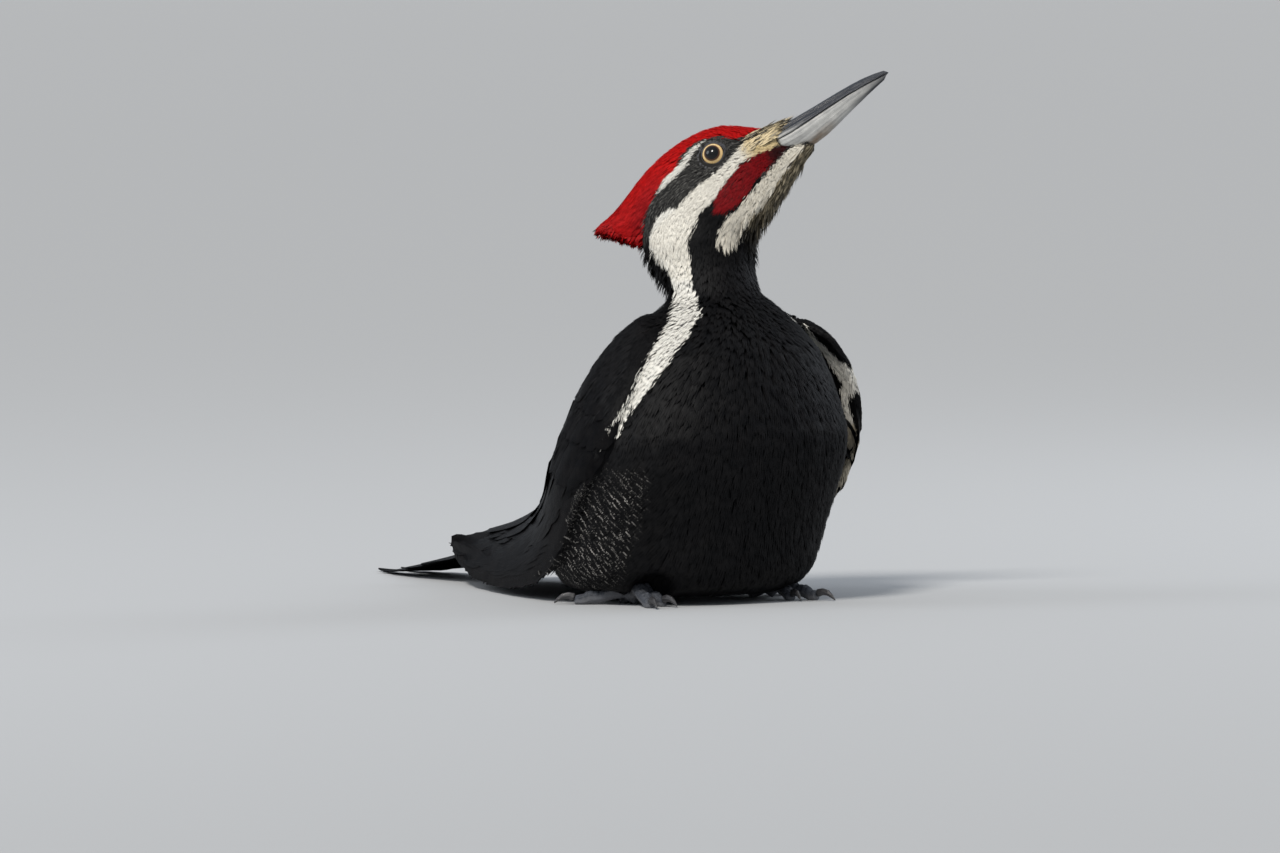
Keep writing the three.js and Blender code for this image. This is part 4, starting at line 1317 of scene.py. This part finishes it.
# %% Loose fringes
CREST_TIP = [(-57, -3, 4), (-62, -2, 3)]
CREST_EDGE = [(-61, -7, 3.0), (-55, -12, 3.5), (-49, -18, 3.0), (-44, -17, 2.5)]
NAPE = [(-46, -24, 4), (-46, -36, 5), (-44, -48, 5)]
CHIN = [(36, -17, 2.5), (28, -22, 3.5), (18, -28, 4), (8, -34, 4), (0, -39, 4)]
thin = [tuft_template(4, 3, 0.12, 1.2, 0.5, seed + 50) for seed in range(4)]


def trailing(points, normals):
    return unit(lie_of_coat(points, normals) + 0.18 * normals)


def off_the_crest(points, normals):
    low = smoothstep(-normals @ head_up, -0.2, 0.6)[:, None]
    return unit(-head_forward - (0.34 + 0.55 * low) * head_up + 0.04 * normals)


RED_HAIR = ((0.0, 1.0, 0.30, 0.0), (0.0, 1.0, 0.55, 0.0))
on_crest = (quad_parts == CREST) & (np.abs(on_head(quad_middles)[:, 2]) > 1.2)
for name, stations, where, amount, length, width, lift, way, colour in (
    ("coat_crest_tip", CREST_TIP, on_crest, 130, 6.0, 0.7, 0.15, off_the_crest, RED_HAIR),
    ("coat_crest_edge", CREST_EDGE, on_crest, 190, 4.6, 0.7, 0.15, off_the_crest, RED_HAIR),
    ("coat_nape", NAPE, anywhere, 160, 7.5, 1.0, 0.6, trailing, None),
    ("coat_chin", CHIN, anywhere, 320, 8.0, 0.8, 0.9, trailing, None),
):
    faces, spots = roots_near(stations, where, amount)
    sizes_here = np.outer((1.0, length, width), np.ones(amount))
    covers = ["crest"] if "crest" in name else ["head"]
    grow(name, spots, faces, sizes_here, thin, covers, lift, 0.12, way, 0.75, colour)

# %% [markdown]
# ## Wing and tail feathers
# A stiff feather is a shaft with a web on both sides. The web is thin, arched across, and splits here and
# there at its edge. The template is a closed sheet on a grid of rows and columns; its outline is a
# formula, so that the same grid makes a round covert, a long quill and a pointed tail feather.


# %% Template of a vane
def vane_template(columns, rows, outline, camber, thickness, shaft, fray, seed):
    """A closed sheet on a grid, as points told as along, across and height, its faces, and one sample."""
    draw = np.random.default_rng(seed)
    across = np.linspace(-1, 1, columns)
    across = np.sign(across) * np.abs(across) ** 0.85
    top = np.zeros((rows + 1, columns, 3))
    for row in range(rows + 1):
        share = row / rows
        width = outline(share)
        for column, x in enumerate(across):
            ripple = 0.03 * math.sin(19 * share + 3 * x + seed)
            rib = shaft * max(0.0, 1 - abs(x) * columns / 2.2) * (1 - 0.75 * share)
            top[row, column] = (share, x * width, -camber * x * x * width + rib + ripple * abs(x))
    for side in (0, columns - 1):
        for row in range(2, rows):
            if draw.random() < fray:
                pull = draw.uniform(0.1, 0.3)
                top[row, side, 1] *= 1 - pull
                top[row, side, 0] += draw.uniform(-0.2, 0.5) / rows
                if draw.random() < 0.35:
                    inner = 1 if side == 0 else columns - 2
                    top[row, inner, 1] *= 1 - 0.5 * pull
    bottom = top.copy()
    bottom[1:-1, 1:-1, 2] -= thickness
    number = np.arange((rows + 1) * columns).reshape(rows + 1, columns)
    under = number.copy()
    under[1:-1, 1:-1] = (rows + 1) * columns + np.arange((rows - 1) * (columns - 2)).reshape(rows - 1, -1)
    points = np.concatenate([top.reshape(-1, 3), bottom[1:-1, 1:-1].reshape(-1, 3)])
    faces = []
    for row in range(rows):
        for column in range(columns - 1):
            for grid, order in ((number, 1), (under, -1)):
                a, b = grid[row, column], grid[row, column + 1]
                c, d = grid[row + 1, column + 1], grid[row + 1, column]
                for face in ((a, b, c), (a, c, d)):
                    faces.append(face[::order])
    return points, np.array(faces), np.array([0])


def rounded(root, shoulder, tip):
    """An outline that widens from the root, and rounds off after the share called tip."""

    def width(share):
        grow_out = min(1.0, root + (1 - root) * math.sin(min(1, share / shoulder) * math.pi / 2))
        past = max(0.0, (share - tip) / (1 - tip))
        return grow_out * math.sqrt(max(0.0, 1 - past**2.2))

    return width


covert_outline, quill_outline = rounded(0.3, 0.4, 0.62), rounded(0.28, 0.3, 0.90)
covert_templates = [vane_template(7, 9, covert_outline, 0.16, 0.05, 0.05, 0.45, seed) for seed in range(4)]
quill_templates = [
    vane_template(9, 26, quill_outline, 0.14, 0.05, 0.09, 0.12, seed) for seed in range(5, 8)
]
print("vane templates:", [len(template[1]) for template in covert_templates[:1] + quill_templates[:1]])

# %% [markdown]
# ## Laying the folded wing
# Folded, a wing is a stack. The longest flight feathers lie lowest along the outer edge, the inner ones
# are laid over them, and rows of coverts tile over their roots like slates. So each row is told by where
# its feathers start and end on the wing: along it from shoulder to tip, and across it from the back edge
# to the lower edge. The form itself is hit from the side to find how far out that place is.

# %% Places on a folded wing
UPPER_EDGE = [(-101.5, 131), (-72.5, 112), (-51.5, 79), (-28.5, 52), (16.5, 36), (64.5, 24.5), (79.5, 21.5)]
LOWER_EDGE = {
    "right": [(-118.5, 125), (-123.5, 98), (-113.5, 67), (-82.5, 36), (-20.5, 14), (50.5, 14), (75.5, 19)],
    "left": [(-122.5, 125), (-126.5, 98), (-112.5, 67), (-88.5, 36), (-20.5, 14), (50.5, 14), (75.5, 19)],
}


def wing_spots(side, along, across):
    """Faces and spots of the form at shares along and across a wing."""
    sign = -1 if side == "right" else 1
    weights = bend_weights(along, len(UPPER_EDGE))
    upper, lower = weights @ np.array(UPPER_EDGE), weights @ np.array(LOWER_EDGE[side])
    places = upper + (lower - upper) * across[:, None]
    faces, spots = [], []
    for y, z in places:
        hit = form_tree.ray_cast((sign * 120, y, z), (-sign, 0, 0))
        if hit[0] is None:
            hit = form_tree.find_nearest((sign * 55, y, z))
        faces.append(hit[2])
        spots.append(tuple(hit[0]))
    return np.array(faces), np.array(spots)


def wing_row(side, amount, start, end, half_width, lift, roll, templates, stagger=0.006, bow=0.0):
    """One row of feathers. start and end are ((along, across) first, last) pairs on the wing."""
    steps = 9
    share = np.linspace(0, 1, amount)[:, None]
    from_place = np.array(start[0]) * (1 - share) + np.array(start[1]) * share
    to_place = np.array(end[0]) * (1 - share) + np.array(end[1]) * share
    to_place = to_place + stagger * chance.uniform(-1, 1, (amount, 2)) * (1, 0.5)
    t = np.linspace(0, 1, steps)[None, :, None]
    places = from_place[:, None] * (1 - t) + to_place[:, None] * t
    places[..., 1] += bow * np.sin(math.pi * t[..., 0])
    places = places.reshape(-1, 2)
    faces, spots = wing_spots(side, places[:, 0], places[:, 1])
    normals = unit(read(even_normals, faces, corner_shares(faces, spots))).reshape(amount, steps, 3)
    line = spots.reshape(amount, steps, 3)
    roots = (faces.reshape(amount, steps)[:, 0], line[:, 0].copy())
    for _ in range(2):
        line[:, 1:-1] = line[:, 1:-1] * 0.4 + (line[:, :-2] + line[:, 2:]) * 0.3
        normals[:, 1:-1] = unit(normals[:, 1:-1] * 0.4 + (normals[:, :-2] + normals[:, 2:]) * 0.3)
    rise = np.linspace(lift[0], lift[1], steps)[None, :, None] + lift[2] * share[..., None]
    widths = half_width * chance.uniform(0.93, 1.07, amount)
    plain = np.zeros((amount, 4))
    return feathers(
        line + normals * rise, normals, widths, roots, plain, templates, roll * np.ones(amount), 0.28
    )


# %% Flight feathers and coverts
# how many, start and end as in wing_row, half width, lift at root and tip and from first to last, and bow
FLIGHT_ROWS = (
    (6, ((0.34, 0.98), (0.36, 1.30)), ((0.80, 0.78), (0.99, 1.10)), 6.0, (-1.5, -0.7, -0.3), 0.05),
    (9, ((0.40, 0.62), (0.33, 0.97)), ((0.74, 0.28), (1.0, 0.62)), 6.4, (-1.3, -0.6, -0.5), 0.03),
    (9, ((0.30, 0.08), (0.30, 0.78)), ((0.80, 0.06), (0.62, 0.66)), 8.2, (-0.7, 0.3, -0.6), 0.02),
    (3, ((0.24, 0.02), (0.26, 0.24)), ((0.72, 0.02), (0.70, 0.26)), 10.5, (0.0, 0.8, -0.2), 0.02),
)
# the same without bow
COVERT_ROWS = (
    (11, ((0.165, 0.06), (0.180, 0.82)), ((0.25, 0.07), (0.255, 0.82)), 4.4, (-0.9, 0.5, 0.0)),
    (12, ((0.265, 0.04), (0.275, 0.95)), ((0.42, 0.05), (0.42, 0.93)), 5.6, (-0.8, 0.5, 0.0)),
    (12, ((0.215, 0.05), (0.225, 0.96)), ((0.32, 0.06), (0.32, 0.95)), 4.9, (-0.8, 0.7, 0.0)),
    (4, ((0.24, 0.90), (0.25, 1.0)), ((0.43, 0.88), (0.38, 0.99)), 3.8, (-0.6, 0.7, 0.0)),
)
for side in ("right", "left"):
    tilt = -0.10 if side == "right" else 0.10
    flight = [
        wing_row(side, amount, start, end, half, lift, tilt, quill_templates, 0.008, bow)
        for amount, start, end, half, lift, bow in FLIGHT_ROWS
    ]
    joined_feathers(f"flight_feathers_{side}", flight, vane_finish, [f"wing_{side}"])
    coverts = [
        wing_row(side, amount, start, end, half, lift, tilt * 0.6, covert_templates)
        for amount, start, end, half, lift in COVERT_ROWS
    ]
    joined_feathers(f"wing_coverts_{side}", coverts, vane_finish, [f"wing_{side}"])

# %% [markdown]
# ## Soft feathers of the wings
# The left wing is held a little off the body, so its white under-coverts show between breast and wing.
# They are soft, so they are tufts on the inner side of the form, and so are the small feathers along both
# front edges. Broader tufts cover the shoulders, down to where the rows of coverts take over.

# %% Soft feathers of the wings
FRONT_EDGE = [(50, -107), (56, -110), (64, -112), (72, -115), (80, -119)]
FRONT_EDGE += [(88, -123), (96, -126), (104, -128), (112, -128), (120, -125)]  # height and y, mm
wing_faces = np.flatnonzero(quad_parts >= RIGHT_WING)
middles, facing = quad_middles[wing_faces], quad_normals[wing_faces]
behind_edge = middles[:, 1] - np.interp(middles[:, 2], *zip(*FRONT_EDGE))
side_of = np.where(quad_parts[wing_faces] == LEFT_WING, 1, -1)
outward_share = facing[:, 0] * side_of
raised = middles[:, 2] > 40
near_edge = raised & ((facing[:, 1] < -0.2) | (outward_share < 0.35)) & (behind_edge < 12)
hidden = raised & (outward_share < 0.35) & ~near_edge & (middles[:, 1] < -70)
hidden &= chance.random(len(middles)) < 0.05
shoulder = ~near_edge & (outward_share >= 0.2) & (middles[:, 2] + 0.55 * middles[:, 1] > 30)
shoulder &= (middles[:, 1] < -40) & (chance.random(len(middles)) < 0.34)


def along_the_wing(points, normals):
    back = smoothstep(points[:, 1], -110, -40)
    return unit(np.stack([0 * back, 0.42 + 0.5 * back, -1 + 0.3 * back], axis=1))


shoulder_tufts = [tuft_template(6, 2, 0.17, 1.0, 0.25, seed + 70) for seed in range(4)]
for part, chosen, tuft_sizes, templates, way in (
    ("wing_edge", near_edge | hidden, (1.3, 7.0, 1.3), fine, lie_of_coat),
    ("shoulder", shoulder, (2.2, 11.0, 2.3), shoulder_tufts, along_the_wing),
):
    for side, sign in (("right", -1), ("left", 1)):
        spots = quad_middles[wing_faces[chosen & (side_of == sign)]]
        faces, spots = land(spots + chance.normal(0, 0.4, spots.shape))
        sizes_here = np.outer(tuft_sizes, np.ones(len(faces)))
        grow(f"coat_{part}_{side}", spots, faces, sizes_here, templates, [f"wing_{side}"], 0.35, 0.05, way)

# %% [markdown]
# ## The tail
# A woodpecker props itself on its tail, so its ten long feathers have thick springy shafts and end in
# worn points. The middle pair lies on top and is the longest. Each pair outwards is shorter and lies
# lower.

# %% Tail feathers
TAIL_LENGTH, TAIL_PAIRS = 160.0, 5
TAIL_START_Y, TAIL_DROP = -2.45, 29
TAIL_HALF_WIDTHS = ([0, 0.15, 0.45, 0.72, 0.90, 0.97, 1.0], [2.2, 5.4, 7.8, 7.2, 4.4, 2.4, 0.5])
TAIL_WIDEST = max(TAIL_HALF_WIDTHS[1])


def tail_outline(share):
    return float(np.interp(share, *TAIL_HALF_WIDTHS)) / TAIL_WIDEST


def tail_height(reach):
    """Share of the tail root's height that is left at a distance from it, mm."""
    return np.maximum(0, 1 - 1.12 * reach / TAIL_LENGTH)


tail_templates = [
    vane_template(9, 34, tail_outline, 0.10, 0.07, 0.16, 0.30, seed) for seed in range(60, 64)
]
tail_sets = []
root_face = form_tree.find_nearest((BODY_MIDDLE_X, -2, 33))[2]
tail_root = (np.array([root_face]), quad_middles[[root_face]])
black = np.zeros((1, 4))
for pair in range(TAIL_PAIRS):
    outer = pair / (TAIL_PAIRS - 1)
    length = TAIL_LENGTH * (1 - 0.36 * outer**1.3)
    reach = np.linspace(0, 1, 12) * length
    rise = tail_height(reach)
    height = 1.1 + TAIL_DROP * rise**1.25 + 1.2 * (1 - outer) * (0.25 + rise)
    for sign in (-1, 1):
        aside = BODY_MIDDLE_X + sign * (1.8 + 7 * outer + (0.028 + 0.085 * outer) * reach)
        line = np.stack([aside, TAIL_START_Y + 0.985 * reach, height], axis=1)[None]
        upward = unit(np.zeros_like(line) + (sign * 0.12 * outer, 0, 1.0))
        width = np.array([TAIL_WIDEST])
        tail_sets.append(feathers(line, upward, width, tail_root, black, tail_templates, roundness=0.2))
joined_feathers("tail_feathers", tail_sets, vane_finish, ["tail"])

# %% Coverts above and below the tail
# height of the roots, up or down, how many, and length
COVER_ROWS = ((34.5, 1, 9, 46), (27.0, -1, 8, 40), (35.5, 1, 7, 30), (26.0, -1, 6, 26))
cover_sets = []
for level, facing, amount, length in COVER_ROWS:
    for index in range(amount):
        aside = (index - (amount - 1) / 2) / amount * 2
        reach = np.linspace(0, 1, 8) * length * (1 - 0.25 * abs(aside))
        drop = TAIL_DROP * (1 - tail_height((reach - 10).clip(0)) ** 1.25)
        height = level - facing * (2.4 * aside**2 + 2.2 * (reach / length) ** 1.5) - drop
        line = np.stack([BODY_MIDDLE_X + aside * (13 + 0.10 * reach), -17.0 + reach, height], axis=1)[None]
        normals = unit(np.zeros_like(line) + (0.45 * aside, 0.12, facing))
        cover_sets.append(feathers(line, normals, np.array([6.0]), tail_root, black, covert_templates))
joined_feathers("tail_coverts", cover_sets, vane_finish, ["tail"])

# %% [markdown]
# ## The bill
# The bill is a chisel: two long halves of horn with a straight ridge along the top, a second ridge that
# runs from the nostril, and fine lines from end to end. A fine wrap of each solid gives a smooth base.
# Points are then pushed in and out along the ridges, and the marks say where the horn is pale, stained or
# dark.

# %% Bill halves
BILL_START, BILL_END = 25.0, 87.4  # forward of the middle of the head, mm
MOUTH_LINE = ([25, 31, 37, 41, 53, 67, 80, 87.4], [-6.0, -6.4, -6.1, -5.5, -3.5, -1.3, -0.2, 0.3])


def horn_piece(name, source, voxel, smoothing, shape, finish):
    """A piece of horn from one solid. Shape moves its points and gives its markings and its vane map."""
    points, quads = wrap([source], voxel, swell=0.0, smoothing=smoothing)
    points, marks, vane = shape(points, surface_normals(points, quads))
    piece(name, points, quads, finish, [source], marks=marks, vane=vane)


def round_the_bill(points, sign, root_half, taper):
    """For each point: how far along the bill, and how far round it from the ridge or keel to the mouth."""
    forward, up, right = on_head(points).T
    along = (forward - BILL_START) / (BILL_END - BILL_START)
    from_mouth = np.maximum(sign * (up - np.interp(forward, *MOUTH_LINE)), 0)
    half = root_half - taper * np.clip(along, 0, 1)
    return along, np.arctan2(np.abs(right) / half, from_mouth / half) / (math.pi / 2)


def horn_marks(pale, stain, dark):
    return np.stack([np.clip(share, 0, 1) for share in (pale, stain, dark)] + [np.ones_like(dark)], axis=1)


def upper_half(points, normals):
    along, round_turn = round_the_bill(points, 1, 7.4, 6.6)
    fade = 1 - smoothstep(along, 0.72, 0.98)
    ridge = 0.42 * hump(round_turn, 0.52, 0.07) * (1 - smoothstep(along, 0.45, 0.80))
    groove = -0.30 * hump(round_turn, 0.66, 0.08) * fade
    culmen = 0.28 * hump(round_turn, 0, 0.10) * fade
    lines = 0.055 * np.sin(round_turn * 52) * fade
    lip = 0.16 * hump(round_turn, 0.93, 0.06) * fade
    points = points + normals * (ridge + groove + culmen + lines + lip)[:, None]
    pale = smoothstep(round_turn, 0.78, 0.92) * (1 - smoothstep(along, 0.10, 0.34)) * 0.75
    dark = 0.55 * smoothstep(round_turn, 0.955, 0.99) + 0.35 * (1 - smoothstep(round_turn, 0.0, 0.14))
    return points, horn_marks(pale, 0 * pale, dark), np.stack([round_turn, along], axis=1)


def lower_half(points, normals):
    along, round_turn = round_the_bill(points, -1, 7.2, 6.4)
    fade = 1 - smoothstep(along, 0.70, 0.98)
    lines = 0.05 * np.sin(round_turn * 44) * fade
    groove = -0.22 * hump(round_turn, 0.60, 0.06) * smoothstep(along, 0.15, 0.4) * fade
    keel = 0.20 * hump(round_turn, 0, 0.16) * smoothstep(along, 0.2, 0.5) * fade
    lip = 0.14 * hump(round_turn, 0.92, 0.05) * fade
    points = points + normals * (lines + groove + keel + lip)[:, None]
    pale = 0.92 - 0.75 * smoothstep(along, 0.62, 0.97)
    pale = pale - 0.45 * smoothstep(along, 0.45, 0.85) * (1 - smoothstep(round_turn, 0.15, 0.45))
    near_keel = 1 - smoothstep(round_turn, 0.18, 0.48)
    stain = near_keel * smoothstep(along, -0.02, 0.10) * (1 - smoothstep(along, 0.34, 0.56))
    dark = 0.8 * smoothstep(round_turn, 0.965, 0.99) + 0.35 * smoothstep(along, 0.86, 1.0)
    return points, horn_marks(pale, 0.85 * stain, dark), np.stack([round_turn + 2, along], axis=1)


horn_piece("bill_upper_horn", "bill_upper", 0.40, 5, upper_half, bill_finish)
horn_piece("bill_lower_horn", "bill_lower", 0.40, 5, lower_half, bill_finish)


# %% Claws
def claw_shape(points, normals):
    """Fine ridges along a claw, whose longest direction is found from its own points."""
    from_middle = points - points.mean(axis=0)
    spread = np.linalg.svd(from_middle, full_matrices=False)[2]
    along = from_middle @ spread[0]
    along = (along - along.min()) / np.ptp(along)
    turn = np.arctan2(from_middle @ spread[1], from_middle @ spread[2]) / (2 * math.pi)
    ridges = 0.05 * np.sin(turn * 60)
    points = points + normals * ridges[:, None]
    points[:, 2] = np.maximum(points[:, 2], 0.0)
    blank = np.zeros_like(along)
    return points, horn_marks(blank, blank, blank), np.stack([turn, along], axis=1)


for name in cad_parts:
    if name.startswith("claw_"):
        horn_piece(f"horn_{name}", name, 0.28, 3, claw_shape, claw_finish)

# %% [markdown]
# ## The eyes
# The eye is what a person looks at first. It is a ball with a clear bulge in front, a pupil, and a pale
# iris with fine spokes and a darker rim. The ball's marks tell how far out from the middle each point is,
# and the eye finish paints its rings from that.

# %% Eyeballs
EYE_TURNS, EYE_ROWS = 96, 56
BALL_RADIUS = EYE_RADIUS * 0.985  # a little inside the solid
BULGE, BULGE_RADIUS = 0.75, 4.6
for side, sign in EYE_SIDES.items():
    middle = box_middle(f"eye_{side}")
    outward = head_right * sign
    points, marks = [], []
    for row in range(EYE_ROWS + 1):
        polar = math.pi * (row / EYE_ROWS) ** 1.25
        in_front = polar < math.pi / 2
        radius = BALL_RADIUS * max(math.sin(polar), 0.0)
        bulge = BULGE * max(0.0, 1 - (radius / BULGE_RADIUS) ** 2) if in_front else 0.0
        rise = BALL_RADIUS * EYE_FLATNESS * math.cos(polar) + bulge
        for turn in range(EYE_TURNS):
            angle = 2 * math.pi * turn / EYE_TURNS
            spoke = math.cos(angle) * head_forward + math.sin(angle) * head_up
            points.append(middle + outward * rise + radius * spoke)
            marks.append((radius / EYE_RADIUS if in_front else 1.0, turn / EYE_TURNS, 0, 1))
    quads = ring_quads(EYE_ROWS, EYE_TURNS, sign)
    points, marks = np.array(points), np.array(marks)
    ball = piece(f"eyeball_{side}", points, quads, eye_finish, [f"eye_{side}"], marks=marks)
    # both ends of the ball are rings of no width, which are joined to one point
    welded = bmesh.new()
    welded.from_mesh(ball.data)
    bmesh.ops.remove_doubles(welded, verts=welded.verts, dist=1e-7)
    welded.to_mesh(ball.data)
    welded.free()
